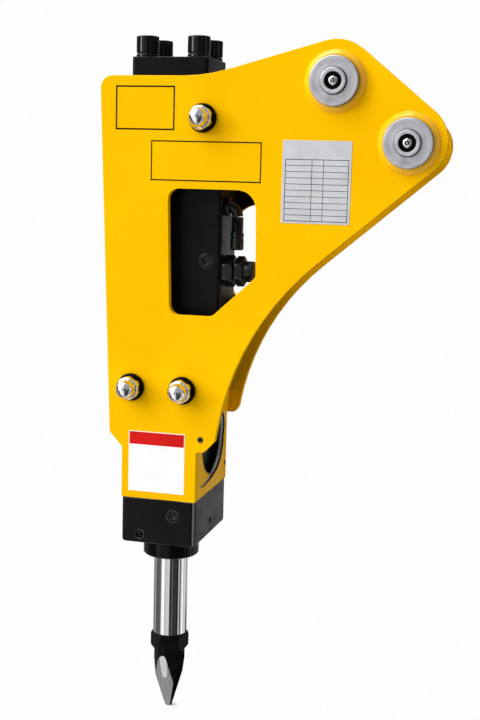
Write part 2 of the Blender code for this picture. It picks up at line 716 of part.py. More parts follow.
def make_piston(steel, frame):
    """The piston, resting on the step of its bore, just clear of a tool that is pushed right up."""
    axis = empty("piston_axis", (0, 0, PISTON_LAND_FOOT_Z + SEAT_GAP), frame)
    foot = TOOL_TOP_Z + TOOL_TRAVEL + SEAT_GAP - PISTON_LAND_FOOT_Z - SEAT_GAP
    top = PISTON_TOP_Z - PISTON_LAND_FOOT_Z - SEAT_GAP
    middle = PISTON_LAND_LENGTH / 2
    groove = PISTON_LAND_RADIUS - PISTON_GROOVE
    rings = [
        (PISTON_FOOT_RADIUS - PISTON_CHAMFER, foot),
        (PISTON_FOOT_RADIUS, foot + PISTON_CHAMFER),
        (PISTON_FOOT_RADIUS, 0),
        (PISTON_LAND_RADIUS, 0),
        (PISTON_LAND_RADIUS, middle - PISTON_CHAMFER),
        (groove, middle - PISTON_CHAMFER),
        (groove, middle + PISTON_CHAMFER),
        (PISTON_LAND_RADIUS, middle + PISTON_CHAMFER),
        (PISTON_LAND_RADIUS, PISTON_LAND_LENGTH),
        (PISTON_TOP_RADIUS, PISTON_LAND_LENGTH),
        (PISTON_TOP_RADIUS, top - PISTON_CHAMFER),
        (PISTON_TOP_RADIUS - PISTON_CHAMFER, top),
    ]
    lofted("piston", rings, SMALL, steel, axis)


def make_seal_retainer(steel, frame):
    """The sleeve in the cylinder's top that carries the gas seals round the piston's upper rod."""
    inner = PISTON_TOP_RADIUS + RUNNING_GAP
    outer = PISTON_LAND_RADIUS + RUNNING_GAP - SEAT_GAP
    length = CYLINDER_TOP_Z - SEAT_GAP - LAND_BORE_TOP_Z
    ring_washer("seal_retainer", inner, outer, length, SMALL, steel, frame, (0, 0, LAND_BORE_TOP_Z), "up")


def make_front_head(black, frame):
    """The casting that guides the tool: a block under the bracket, a neck in its box, and a flange."""
    left, right, d, r = TONGUE_LEFT_X, TONGUE_RIGHT_X, OUTER_Y, HEAD_CORNER
    outline = rounded([(left, -d, r), (right, -d, r), (right, d, r), (left, d, r)])
    head = prism("front_head", outline, HEAD_FOOT_Z, -SEAT_GAP, "Z", black, frame)
    soften_foot(head, HEAD_FOOT_Z, HEAD_FOOT_CHAMFER)
    neck_left = TONGUE_LEFT_X + WALL_THICKNESS + SEAT_GAP
    neck_right = TONGUE_RIGHT_X - WALL_THICKNESS - SEAT_GAP
    neck_outline = [
        (neck_left, -HEAD_NECK_DIP),
        (neck_right, -HEAD_NECK_DIP),
        (neck_right, FLANGE_FOOT_Z),
        (BODY_HALF_WIDTH, FLANGE_FOOT_Z),
        (BODY_HALF_WIDTH, FRONT_HEAD_TOP_Z),
        (-BODY_HALF_WIDTH, FRONT_HEAD_TOP_Z),
        (-BODY_HALF_WIDTH, FLANGE_FOOT_Z),
        (neck_left, FLANGE_FOOT_Z),
    ]
    neck = prism("neck", neck_outline, -SEATED_Y, SEATED_Y, "Y", None, frame)
    cut(head, neck, "UNION")
    bush_seat = BUSH_RADIUS + SEAT_GAP
    thrust_seat = THRUST_BUSH_RADIUS + SEAT_GAP
    tool_bore = TOOL_RADIUS + RUNNING_GAP
    foot = HEAD_FOOT_Z - CUT_PAST
    top = FRONT_HEAD_TOP_Z + CUT_PAST
    drill(head, "bush_seat", bush_seat, (0, 0, 0), foot, BUSH_TOP_Z + SEAT_GAP, "up", FINE)
    drill(head, "thrust_seat", thrust_seat, (0, 0, 0), BUSH_TOP_Z - CUT_PAST, THRUST_BUSH_TOP_Z, "up", FINE)
    drill(head, "tool_bore", tool_bore, (0, 0, 0), THRUST_BUSH_TOP_Z - CUT_PAST, top, "up", FINE)
    drill_tie_holes(head, TIE_FOOT_Z - TIE_HOLE_FOOT_GAP, top)
    reach = OUTER_Y + CUT_PAST
    bolt_hole = SIDE_BOLT_RADIUS + THREAD_GAP
    for side in (-1, 1):
        place = (side * LOWER_BOLT_X, 0, LOWER_BOLT_Z)
        drill(head, f"lower_bolt_hole_{side}", bolt_hole, place, -reach, reach, "front", TINY)
    retainer_place = (RETAINER_X, 0, RETAINER_Z)
    blind_end = RETAINER_SETBACK - OUTER_Y - SEAT_GAP
    drill(head, "retainer_hole", RETAINER_RADIUS + SEAT_GAP, retainer_place, blind_end, reach, "front", TINY)
    lock_hole = LOCK_PIN_RADIUS + SEAT_GAP
    lock_end = TONGUE_RIGHT_X + CUT_PAST
    drill(head, "lock_hole", lock_hole, (0, 0, LOCK_PIN_Z), TOOL_RADIUS, lock_end, "right", TINY)
    nipple_place = (HEAD_NIPPLE_X, -OUTER_Y, HEAD_NIPPLE_Z)
    drill(head, "head_nipple_well", HEAD_NIPPLE_WELL, nipple_place, -HEAD_NIPPLE_DEPTH, CUT_PAST, "front")


def soften_foot(target, foot_z, chamfer):
    """Chamfers the edges round a prism's foot."""
    build = bmesh.new()
    build.from_mesh(target.data)
    rim = [edge for edge in build.edges if all(abs(v.co.z - foot_z) < SEAT_GAP for v in edge.verts)]
    bmesh.ops.bevel(build, geom=rim, offset=chamfer, segments=2, profile=0.5, affect="EDGES")
    build.to_mesh(target.data)
    build.free()


def make_bushes(black, steel, rubber, frame):
    """The flanged lower bush with its dust seal, and the thrust bush that stops the tool's shoulder."""
    inner = TOOL_RADIUS + RUNNING_GAP
    flange_top = HEAD_FOOT_Z - SEAT_GAP
    flange_foot = flange_top - BUSH_FLANGE_HEIGHT
    seal_top = flange_foot + SEAL_HEIGHT + SEAT_GAP
    rings = [
        (inner, BUSH_TOP_Z),
        (inner, seal_top),
        (SEAL_RADIUS + SEAT_GAP, seal_top),
        (SEAL_RADIUS + SEAT_GAP, flange_foot),
        (BUSH_FLANGE_RADIUS - BUSH_FLANGE_CHAMFER, flange_foot),
        (BUSH_FLANGE_RADIUS, flange_foot + BUSH_FLANGE_CHAMFER),
        (BUSH_FLANGE_RADIUS, flange_top),
        (BUSH_RADIUS, flange_top),
        (BUSH_RADIUS, BUSH_TOP_Z),
    ]
    bush = lofted("lower_bush", rings, FINE, black, frame, hollow=True)
    reach = OUTER_Y + CUT_PAST
    channel = RETAINER_RADIUS + SEAT_GAP
    drill(bush, "bush_channel", channel, (RETAINER_X, 0, RETAINER_Z), -reach, reach, "front", TINY)
    ring_washer("dust_seal", inner, SEAL_RADIUS, SEAL_HEIGHT, FINE, rubber, frame, (0, 0, flange_foot), "up")
    length = THRUST_BUSH_TOP_Z - SEAT_GAP - THRUST_BUSH_FOOT_Z
    place = (0, 0, THRUST_BUSH_FOOT_Z)
    ring_washer("thrust_bush", inner, THRUST_BUSH_RADIUS, length, FINE, steel, frame, place, "up")


def make_tool(steel, frame):
    """The chisel: a round shank with a retainer flat, a forged hexagon collar and a four-sided point."""
    axis = empty("tool_axis", (0, 0, 0), frame)
    flats = TOOL_COLLAR_ACROSS_FLATS
    rings = [
        (TOOL_RADIUS - TOOL_CHAMFER, TOOL_TOP_Z),
        (TOOL_RADIUS, TOOL_TOP_Z - TOOL_CHAMFER),
        (TOOL_RADIUS, TOOL_COLLAR_TOP_Z),
        (flats, TOOL_COLLAR_TOP_Z - TOOL_COLLAR_CHAMFER, "hex", TOOL_COLLAR_TURN),
        (flats, TOOL_COLLAR_FOOT_Z + TOOL_COLLAR_CHAMFER, "hex", TOOL_COLLAR_TURN),
        (TOOL_POINT_RADIUS, TOOL_COLLAR_FOOT_Z),
        (TOOL_POINT_RADIUS, TOOL_TIP_Z),
    ]
    tool = lofted("chisel", rings, FINE, steel, axis)
    build = bmesh.new()
    build.from_mesh(tool.data)
    for i in range(TOOL_FACETS):
        heading = TOOL_FACET_TURN + 2 * pi * i / TOOL_FACETS
        outward = Vector((cos(heading), sin(heading), 0))
        foot = outward * TOOL_TIP_HALF_WIDTH + Vector((0, 0, TOOL_TIP_Z))
        normal = (outward - Vector((0, 0, TOOL_FACET_SLOPE))).normalized()
        slice_facet(build, foot, normal)
    bmesh.ops.recalc_face_normals(build, faces=build.faces)
    build.to_mesh(tool.data)
    build.free()
    notch_top = RETAINER_Z + RETAINER_RADIUS + SEAT_GAP
    notch_foot = RETAINER_Z - RETAINER_RADIUS - TOOL_TRAVEL - SEAT_GAP
    notch_x = RETAINER_X - RETAINER_RADIUS - RUNNING_GAP
    notch = [
        (notch_x, notch_foot),
        (TOOL_RADIUS + CUT_PAST, notch_foot),
        (TOOL_RADIUS + CUT_PAST, notch_top),
        (notch_x, notch_top),
    ]
    cut(tool, prism("tool_notch", notch, -TOOL_RADIUS, TOOL_RADIUS, "Y", None, axis))


def slice_facet(build, place, normal):
    """Cuts away what lies beyond a plane and closes the flat that is left."""
    geometry = build.verts[:] + build.edges[:] + build.faces[:]
    sliced = bmesh.ops.bisect_plane(
        build, geom=geometry, plane_co=place, plane_no=normal, clear_outer=True, dist=1e-7
    )
    rim = [item for item in sliced["geom_cut"] if isinstance(item, bmesh.types.BMEdge)]
    bmesh.ops.contextual_create(build, geom=rim)


def make_retainer(steel, black, frame):
    """The cross pin that keeps the tool in, the plug over its end, and the pin that locks the lower bush."""
    half = OUTER_Y - RETAINER_SETBACK
    rings = [(RETAINER_RADIUS, -half), (RETAINER_RADIUS, half)]
    lofted("retaining_pin", rings, TINY, steel, frame, (RETAINER_X, 0, RETAINER_Z), "front")
    plug_rings = [
        (RETAINER_RADIUS, 0),
        (RETAINER_RADIUS, RETAINER_PLUG_LENGTH),
        (RETAINER_RADIUS * 0.6, RETAINER_PLUG_LENGTH),
        (RETAINER_RADIUS * 0.6, RETAINER_PLUG_LENGTH / 2),
    ]
    plug_place = (RETAINER_X, -half - SEAT_GAP, RETAINER_Z)
    lofted("retainer_plug", plug_rings, TINY, black, frame, plug_place, "front")
    lock_rings = [
        (LOCK_PIN_RADIUS, BUSH_RADIUS + SEAT_GAP),
        (LOCK_PIN_RADIUS, TONGUE_RIGHT_X - LOCK_PIN_SETBACK),
    ]
    lofted("bush_lock_pin", lock_rings, TINY, steel, frame, (0, 0, LOCK_PIN_Z), "right")
    nipple_place = (HEAD_NIPPLE_X, -OUTER_Y + HEAD_NIPPLE_DEPTH - SEAT_GAP, HEAD_NIPPLE_Z)
    make_nipple("tool_nipple", HEAD_NIPPLE_RADIUS, HEAD_NIPPLE_DEPTH, steel, frame, nipple_place)


def make_tie_bolts(black, frame):
    """Four long socket-head bolts that clamp the back head and cylinder to the front head."""
    for corner, (x, y) in TIE_CORNERS.items():
        head_top = TIE_HEAD_Z + TIE_HEAD_HEIGHT
        rings = [
            (TIE_RADIUS, TIE_FOOT_Z),
            (TIE_RADIUS, TIE_HEAD_Z),
            (TIE_HEAD_RADIUS, TIE_HEAD_Z),
            (TIE_HEAD_RADIUS, head_top - TIE_HEAD_ROUND),
            (TIE_HEAD_RADIUS - TIE_HEAD_ROUND * 0.3, head_top - TIE_HEAD_ROUND * 0.3),
            (TIE_HEAD_RADIUS - TIE_HEAD_ROUND, head_top),
            (TIE_SOCKET_RADIUS * 2, head_top, "hex"),
            (TIE_SOCKET_RADIUS * 2, head_top - TIE_SOCKET_DEPTH, "hex"),
        ]
        lofted(f"tie_bolt_{corner}", rings, SMALL, black, frame, (x, y, 0))
        washer = f"tie_washer_{corner}"
        place = (x, y, BACK_HEAD_TOP_Z + SEAT_GAP)
        hole = TIE_RADIUS + THREAD_GAP
        ring_washer(washer, hole, TIE_HEAD_RADIUS, TIE_WASHER_THICKNESS, SMALL, black, frame, place, "up")


def make_side_bolts(black, chrome, frame):
    """Three studs through plates and body, each with a thick washer and a domed nut at both ends."""
    washer_y = OUTER_Y + SEAT_GAP
    nut_y = washer_y + SIDE_WASHER_THICKNESS + SEAT_GAP
    half = nut_y + SIDE_THREAD_LENGTH
    hole = SIDE_BOLT_RADIUS + THREAD_GAP
    dome_foot = SIDE_NUT_HEX_HEIGHT + SIDE_NUT_DOME_STRAIGHT
    dome_rise = SIDE_NUT_DOME_HEIGHT - SIDE_NUT_DOME_STRAIGHT
    dome = [(SIDE_NUT_DOME_RADIUS, SIDE_NUT_HEX_HEIGHT)]
    dome += [
        (SIDE_NUT_DOME_RADIUS * cos(radians(a)), dome_foot + dome_rise * sin(radians(a)))
        for a in (0, 30, 60, 80)
    ]
    nut_rings = [
        (hole, SIDE_THREAD_LENGTH + SEAT_GAP),
        (hole, 0),
        (SIDE_NUT_ACROSS_FLATS, 0, "hex"),
        (SIDE_NUT_ACROSS_FLATS, SIDE_NUT_HEX_HEIGHT, "hex"),
    ]
    for label, (x, z) in SIDE_BOLTS.items():
        stud_rings = [(SIDE_BOLT_RADIUS, -half), (SIDE_BOLT_RADIUS, half)]
        lofted(f"side_bolt_{label}", stud_rings, TINY, chrome, frame, (x, 0, z), "front")
        for side, sign in (("front", -1), ("rear", 1)):
            washer_name = f"side_washer_{label}_{side}"
            place = (x, sign * washer_y, z)
            ring_washer(
                washer_name, hole, SIDE_WASHER_RADIUS, SIDE_WASHER_THICKNESS, SMALL, black, frame, place, side
            )
            nut_place = (x, sign * nut_y, z)
            lofted(f"side_nut_{label}_{side}", nut_rings + dome, SMALL, chrome, frame, nut_place, side)


def make_ports(black, frame):
    """The two hydraulic fittings on the chest, each with a screw cap, and the plug on its front face."""
    inlet = (CHEST_X, PORT_Y, INLET_Z)
    hex_top = SEAT_GAP + INLET_HEX_LENGTH
    adaptor_rings = [
        (PORT_RADIUS, -PORT_DEPTH),
        (PORT_RADIUS, SEAT_GAP),
        (INLET_HEX_ACROSS_FLATS, SEAT_GAP, "hex"),
        (INLET_HEX_ACROSS_FLATS, hex_top, "hex"),
        (INLET_STUB_RADIUS, hex_top),
        (INLET_STUB_RADIUS, hex_top + INLET_STUB_LENGTH),
    ]
    lofted("inlet_adaptor", adaptor_rings, SMALL, black, frame, inlet, "right")
    cap_foot = hex_top + INLET_CAP_GAP
    cap_hex_top = cap_foot + INLET_CAP_HEX_LENGTH
    cap_rings = [
        (INLET_STUB_RADIUS + THREAD_GAP, hex_top + INLET_STUB_LENGTH + SEAT_GAP),
        (INLET_STUB_RADIUS + THREAD_GAP, cap_foot),
        (INLET_CAP_HEX_ACROSS_FLATS, cap_foot, "hex"),
        (INLET_CAP_HEX_ACROSS_FLATS, cap_hex_top, "hex"),
        (INLET_CAP_RADIUS, cap_hex_top),
        (INLET_CAP_RADIUS, cap_foot + INLET_CAP_LENGTH - INLET_CAP_CHAMFER),
        (INLET_CAP_RADIUS - INLET_CAP_CHAMFER, cap_foot + INLET_CAP_LENGTH),
    ]
    lofted("inlet_cap", cap_rings, SMALL, black, frame, inlet, "right")
    make_outlet(black, frame)
    plug_rings = [
        (CHEST_PLUG_RADIUS, -CHEST_PLUG_DEPTH),
        (CHEST_PLUG_RADIUS, CHEST_PLUG_PROUD),
        (CHEST_PLUG_SOCKET * 2, CHEST_PLUG_PROUD, "hex"),
        (CHEST_PLUG_SOCKET * 2, -CHEST_PLUG_DEPTH / 2, "hex"),
    ]
    plug_place = (CHEST_PLUG_X, -BODY_HALF_DEPTH, CHEST_PLUG_Z)
    lofted("chest_plug", plug_rings, SMALL, black, frame, plug_place, "front")


def make_outlet(black, frame):
    """An elbow that leaves the chest to the right and turns down to a capped thread."""
    spigot_rings = [
        (PORT_RADIUS, -PORT_DEPTH),
        (PORT_RADIUS, SEAT_GAP),
        (OUTLET_HEX_ACROSS_FLATS, SEAT_GAP, "hex"),
        (OUTLET_HEX_ACROSS_FLATS, SEAT_GAP + OUTLET_HEX_LENGTH, "hex"),
    ]
    elbow = lofted("outlet_elbow", spigot_rings, SMALL, black, frame, (CHEST_X, PORT_Y, OUTLET_Z), "right")
    bend_radius = OUTLET_DROP_X - CHEST_X - SEAT_GAP - OUTLET_HEX_LENGTH / 2
    build = bmesh.new()
    start = Vector((CHEST_X + SEAT_GAP + OUTLET_HEX_LENGTH / 2, PORT_Y, OUTLET_Z))
    rim = [build.verts.new(start + Vector((0, x, y))) for x, y in ring_points(OUTLET_RADIUS, SMALL)]
    disc = build.faces.new(rim)
    bend_centre = start - Vector((0, 0, bend_radius))
    swept = bmesh.ops.spin(
        build, geom=[disc], cent=bend_centre, axis=(0, 1, 0), angle=pi / 2, steps=5, use_duplicate=False
    )
    end = [item for item in swept["geom_last"] if isinstance(item, bmesh.types.BMFace)]
    drop = bmesh.ops.extrude_face_region(build, geom=end)
    moved = [item for item in drop["geom"] if isinstance(item, bmesh.types.BMVert)]
    fall = OUTLET_FOOT_Z - (OUTLET_Z - bend_radius)
    bmesh.ops.translate(build, verts=moved, vec=(0, 0, fall))
    bmesh.ops.delete(build, geom=end, context="FACES_ONLY")
    cut(elbow, finish(build, "outlet_bend", None, frame), "UNION")
    cap_rings = [
        (OUTLET_RADIUS + THREAD_GAP, OUTLET_FOOT_Z - SEAT_GAP),
        (OUTLET_RADIUS + THREAD_GAP, OUTLET_FOOT_Z + OUTLET_CAP_GRIP),
        (OUTLET_CAP_RADIUS, OUTLET_FOOT_Z + OUTLET_CAP_GRIP),
        (OUTLET_CAP_RADIUS, OUTLET_FOOT_Z - OUTLET_CAP_END),
    ]
    lofted("outlet_cap", cap_rings, SMALL, black, frame, (OUTLET_DROP_X, PORT_Y, 0))


def main():
    clear_scene()
    yellow = material("yellow_paint", (0.95, 0.53, 0.004), 0.35, 0)
    black = material("black_paint", (0.012, 0.012, 0.013), 0.4, 0)
    steel = material("bare_steel", (0.62, 0.62, 0.62), 0.28, 1)
    chrome = material("chrome", (0.8, 0.8, 0.82), 0.08, 1)
    rubber = material("rubber", (0.02, 0.02, 0.02), 0.8, 0)
    frame = empty("tool_frame", (-ARM_PIN_X, 0, -ARM_PIN_Z))
    make_plates(yellow, frame)
    make_walls(yellow, frame)
    make_pin("arm", ARM_PIN, yellow, steel, frame)
    make_pin("link", LINK_PIN, yellow, steel, frame)
    make_back_head(black, frame)
    make_gas_valve(steel, frame)
    make_cylinder(black, frame)
    make_valve(steel, frame)
    make_piston(steel, frame)
    make_seal_retainer(steel, frame)
    make_front_head(black, frame)
    make_bushes(black, steel, rubber, frame)
    make_tool(steel, frame)
    make_retainer(steel, black, frame)
    make_tie_bolts(black, frame)
    make_side_bolts(black, chrome, frame)
    make_ports(black, frame)


main()
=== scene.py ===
import bmesh
import bpy
import math
from mathutils import Matrix, Vector


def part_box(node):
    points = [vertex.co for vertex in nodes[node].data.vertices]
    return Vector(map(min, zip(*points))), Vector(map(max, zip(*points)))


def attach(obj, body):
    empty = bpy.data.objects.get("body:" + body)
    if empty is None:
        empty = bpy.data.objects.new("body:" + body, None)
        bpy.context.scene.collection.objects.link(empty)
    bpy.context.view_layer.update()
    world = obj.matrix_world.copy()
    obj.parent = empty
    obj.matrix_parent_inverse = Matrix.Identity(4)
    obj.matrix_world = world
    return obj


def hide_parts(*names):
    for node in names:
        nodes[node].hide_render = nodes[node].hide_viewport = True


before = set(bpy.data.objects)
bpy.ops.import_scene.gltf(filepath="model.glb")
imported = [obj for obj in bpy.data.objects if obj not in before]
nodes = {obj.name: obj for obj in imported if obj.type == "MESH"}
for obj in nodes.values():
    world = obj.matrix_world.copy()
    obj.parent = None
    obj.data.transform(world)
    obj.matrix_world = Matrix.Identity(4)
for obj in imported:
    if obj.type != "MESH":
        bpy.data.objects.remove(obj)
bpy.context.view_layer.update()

BRACKET = "bracket_and_body"
FRONT = Vector((0, -1, 0))
REAR = Vector((0, 1, 0))
UP = Vector((0, 0, 1))
DOWN = Vector((0, 0, -1))
RIGHT = Vector((1, 0, 0))
LEFT = Vector((-1, 0, 0))
CORNER = math.cos(math.pi / 6)

# Colours, as sRGB hex
YELLOW = "FEC104"
YELLOW_DEEP = "F7B802"
YELLOW_THIN = "FFCB2A"
YELLOW_SHINE = "FFC832"
# Painted shade for the plates' flat inner faces inside the box
BOX_SHADE = "1C1408"
BLACK = "080809"
BLACK_GREY = "0E0E0F"
BLACK_RUBBED = "262627"
# Grey of bare rubbed edges, and of the painted highlight on the head's corner
BARE_GREY_AND_HIGHLIGHT = "8C8C8E"
STEEL = "CACACF"
STEEL_DARK = "98989F"
CHROME = "ECECEE"
GROUND = "868684"
GROUND_HIGHLIGHT = "C4C4C2"
SCALE_BLACK = "070707"
SILVER_FOIL = "CCCED1"
INK = "0C0A06"
WHITE_FOIL = "FAFAFC"
RED_FOIL = "D81612"

# How noise and rounded normals become masks, and how much rougher a cut rim is than a flat
NOISE_SPREAD = (0.3, 0.7)
WEAR_SPREAD = (0.34, 0.54)
EDGE_TURN = (0.99, 0.86)
RIM_TURN = (0.2, 0.6)
RIM_ROUGHER = 0.4


def colour(code):
    """A hex sRGB colour as linear RGBA."""
    channels = [int(code[i:i + 2], 16) / 255 for i in (0, 2, 4)]
    linear = [c / 12.92 if c <= 0.04045 else ((c + 0.055) / 1.055) ** 2.4 for c in channels]
    return (*linear, 1)


class Shader:
    """A material's node tree, with the few node kinds that the finishes use."""

    def __init__(self, name):
        self.material = bpy.data.materials.new(name)
        self.material.use_nodes = True
        self.tree = self.material.node_tree
        self.main = self.tree.nodes["Principled BSDF"]
        self.spot = self.add("ShaderNodeTexCoord").outputs["Object"]

    def add(self, kind, **settings):
        node = self.tree.nodes.new(kind)
        for key, value in settings.items():
            setattr(node, key, value)
        return node

    def join(self, out, into):
        self.tree.links.new(out, into)

    def noise(self, scale, detail=4, stretch=None):
        """Cloudy noise over the piece's own coordinates, optionally stretched along its axes."""
        node = self.add("ShaderNodeTexNoise")
        node.inputs["Scale"].default_value = scale
        node.inputs["Detail"].default_value = detail
        place = self.spot
        if stretch:
            mapping = self.add("ShaderNodeMapping")
            mapping.inputs["Scale"].default_value = stretch
            self.join(self.spot, mapping.inputs["Vector"])
            place = mapping.outputs["Vector"]
        self.join(place, node.inputs["Vector"])
        return node.outputs["Fac"]

    def rings(self, scale):
        """Turning marks round the piece's own Z axis."""
        node = self.add("ShaderNodeTexWave", wave_type="RINGS", rings_direction="Z")
        node.inputs["Scale"].default_value = scale
        node.inputs["Distortion"].default_value = 0.8
        node.inputs["Detail"].default_value = 3
        node.inputs["Detail Scale"].default_value = 0.8
        self.join(self.spot, node.inputs["Vector"])
        return node.outputs["Fac"]

    def ramp(self, factor, stops):
        """Colours by a factor: stops are (position, hex code)."""
        node = self.add("ShaderNodeValToRGB")
        band = node.color_ramp.elements
        while len(band) < len(stops):
            band.new(0.5)
        for mark, (position, shade) in zip(band, stops):
            mark.position = position
            mark.color = colour(shade)
        self.join(factor, node.inputs["Fac"])
        return node.outputs["Color"]

    def range(self, factor, low, high, new_low, new_high):
        node = self.add("ShaderNodeMapRange")
        for key, value in zip(("From Min", "From Max", "To Min", "To Max"), (low, high, new_low, new_high)):
            node.inputs[key].default_value = value
        self.join(factor, node.inputs["Value"])
        return node.outputs["Result"]

    def math(self, operation, first, second):
        node = self.add("ShaderNodeMath", operation=operation)
        for socket, value in zip(node.inputs, (first, second)):
            if isinstance(value, bpy.types.NodeSocket):
                self.join(value, socket)
            else:
                socket.default_value = value
        return node.outputs["Value"]

    def blend(self, factor, first, second):
        """first where the factor is 0, second where it is 1; either may be a hex code."""
        node = self.add("ShaderNodeMix", data_type="RGBA")
        self.join(factor, node.inputs["Factor"])
        for key, shade in (("A", first), ("B", second)):
            socket = next(s for s in node.inputs if s.name == key and s.type == "RGBA")
            if isinstance(shade, str):
                socket.default_value = colour(shade)
            else:
                self.join(shade, socket)
        return next(s for s in node.outputs if s.type == "RGBA")

    def edges(self, radius):
        """1 along edges, 0 on flats, from a rounded normal."""
        round_normal = self.add("ShaderNodeBevel", samples=4)
        round_normal.inputs["Radius"].default_value = radius
        flat_normal = self.add("ShaderNodeNewGeometry")
        dot = self.add("ShaderNodeVectorMath", operation="DOT_PRODUCT")
        self.join(round_normal.outputs["Normal"], dot.inputs[0])
        self.join(flat_normal.outputs["Normal"], dot.inputs[1])
        return self.range(dot.outputs["Value"], *EDGE_TURN, 0, 1)

    def worn(self, radius, scale):
        """The edge mask broken up by noise."""
        return self.math("MULTIPLY", self.edges(radius), self.range(self.noise(scale), *WEAR_SPREAD, 0, 1))

    def patchy(self, low, high, scale, detail=4, stretch=None):
        """A value that wanders between two limits over the surface."""
        return self.range(self.noise(scale, detail, stretch), *NOISE_SPREAD, low, high)

    def bump(self, height, strength, distance, under=None):
        node = self.add("ShaderNodeBump")
        node.inputs["Strength"].default_value = strength
        node.inputs["Distance"].default_value = distance
        self.join(height, node.inputs["Height"])
        if under:
            self.join(under, node.inputs["Normal"])
        return node.outputs["Normal"]

    def set(self, **sockets):
        """Numbers, colours or links for the main shader's sockets; underscores stand for spaces."""
        for key, value in sockets.items():
            socket = self.main.inputs[key.replace("_", " ")]
            if isinstance(value, bpy.types.NodeSocket):
                self.join(value, socket)
            elif isinstance(value, str):
                socket.default_value = colour(value)
            else:
                socket.default_value = value
        return self.material


INNER_FACE = 0.0820
INSIDE_OF_BOX = (-0.165, -0.140)
ABOVE_STRAP = (-0.41, -0.37)


def yellow_paint(name, rough, shine, tint, flat="Y"):
    """Powder coat: clouds, lighter edges, drag lines on faces off the flat axis, and painted shade on the
    flat inner faces inside the box.
    """
    s = Shader(name)
    cloud = s.ramp(s.noise(7, 5), [(0.3, YELLOW_DEEP), (0.62, YELLOW)])
    thin = s.blend(s.worn(0.0022, 60), cloud, YELLOW_THIN)
    facing = s.add("ShaderNodeSeparateXYZ")
    s.join(s.add("ShaderNodeNewGeometry").outputs["Normal"], facing.inputs[0])
    on_rim = s.range(s.math("ABSOLUTE", facing.outputs[flat], 0), *RIM_TURN, 1, 0)
    place = s.add("ShaderNodeSeparateXYZ")
    s.join(s.spot, place.inputs[0])
    # Painted shade: flat faces between the plates, inside the box and above the strap, are painted near-black
    # brown
    in_gap = s.range(s.math("ABSOLUTE", place.outputs["Y"], 0), INNER_FACE, INNER_FACE + 0.001, 1, 0)
    beside = s.math("MULTIPLY", in_gap, s.range(place.outputs["X"], *INSIDE_OF_BOX, 1, 0))
    box_shade_mask = s.math("MULTIPLY", beside, s.range(place.outputs["Z"], *ABOVE_STRAP, 0, 1))
    tone = s.blend(s.math("MULTIPLY", box_shade_mask, s.range(on_rim, 0, 1, 1, 0)), thin, BOX_SHADE)
    drag = s.math("MULTIPLY", on_rim, s.noise(1, 3, (420, 12, 420)))
    peel = s.bump(s.noise(700, 2), 0.06, 0.0004)
    skin = s.bump(drag, 0.25, 0.0008, s.bump(s.noise(38, 3), 0.04, 0.002, peel))
    coat = s.patchy(rough - 0.06, rough + 0.06, 22)
    gloss = s.math("ADD", coat, s.math("MULTIPLY", on_rim, RIM_ROUGHER))
    return s.set(Base_Color=tone, Roughness=gloss, Normal=skin, Specular_IOR_Level=shine, Specular_Tint=tint)


def black_coat(name, grain, rough, shine, rubbed=BLACK_RUBBED, wear=0.0006, peel=0.10, highlight_heading=None):
    """Black enamel over steel, rubbed grey along the edges; the last argument is the heading of one edge
    painted light grey as a painted highlight.
    """
    s = Shader(name)
    cloud = s.ramp(s.noise(12, 6), [(0.35, BLACK), (0.7, BLACK_GREY)])
    tone = s.blend(s.worn(wear, 40), cloud, rubbed)
    # Painted highlight: faces turned to the given heading are painted light grey, a line down one rounded
    # corner
    if highlight_heading:
        heading = s.add("ShaderNodeVectorMath", operation="DOT_PRODUCT")
        s.join(s.add("ShaderNodeNewGeometry").outputs["Normal"], heading.inputs[0])
        heading.inputs[1].default_value = highlight_heading
        tone = s.blend(s.range(heading.outputs["Value"], 0.955, 0.99, 0, 0.8), tone, BARE_GREY_AND_HIGHLIGHT)
    skin = s.bump(s.noise(grain, 3), peel, 0.0005)
    gloss = s.patchy(rough - 0.06, rough + 0.08, 30)
    return s.set(Base_Color=tone, Roughness=gloss, Normal=skin, Specular_IOR_Level=shine)


def turned_steel(name, light, dark, scale, rough):
    """Bare steel with lathe rings round its axis."""
    s = Shader(name)
    marks = s.rings(scale)
    tone = s.blend(s.range(marks, 0, 1, 0.15, 0.85), dark, light)
    stain = s.ramp(s.noise(45, 5), [(0.32, dark), (0.55, light)])
    mixed = s.blend(s.noise(9, 3), tone, stain)
    skin = s.bump(marks, 0.22, 0.0003)
    gloss = s.patchy(rough - 0.07, rough + 0.07, 120, 3)
    return s.set(Base_Color=mixed, Metallic=0.55, Roughness=gloss, Normal=skin)


def bright_plating(name, tone, rough):
    """Chrome or zinc plating with faint haze and scratches."""
    s = Shader(name)
    haze = s.ramp(s.noise(160, 4), [(0.35, STEEL), (0.6, tone)])
    skin = s.bump(s.noise(500, 2, (1, 1, 0.2)), 0.04, 0.0003)
    gloss = s.patchy(rough * 0.7, rough * 1.5, 90)
    return s.set(Base_Color=haze, Metallic=1, Roughness=gloss, Normal=skin)


def chisel_shank():
    """Polished shank with fine marks round it and streaks along it."""
    s = Shader("chisel_shank")
    streak = s.noise(1, 5, (320, 320, 3))
    tone = s.ramp(streak, [(0.3, "B0B0AE"), (0.6, "DCDCDA")])
    marks = s.noise(1, 2, (8, 8, 2600))
    skin = s.bump(marks, 0.008, 0.0002, s.bump(streak, 0.004, 0.0003))
    gloss = s.patchy(0.05, 0.10, 50, 4, (1, 1, 0.15))
    return s.set(Base_Color=tone, Metallic=1, Roughness=gloss, Normal=skin)


TONGUE_HALF = 0.0070
TONGUE_LENGTH = 0.038
TONGUE_POWER = 5
BRIM_BLUR = 0.0012


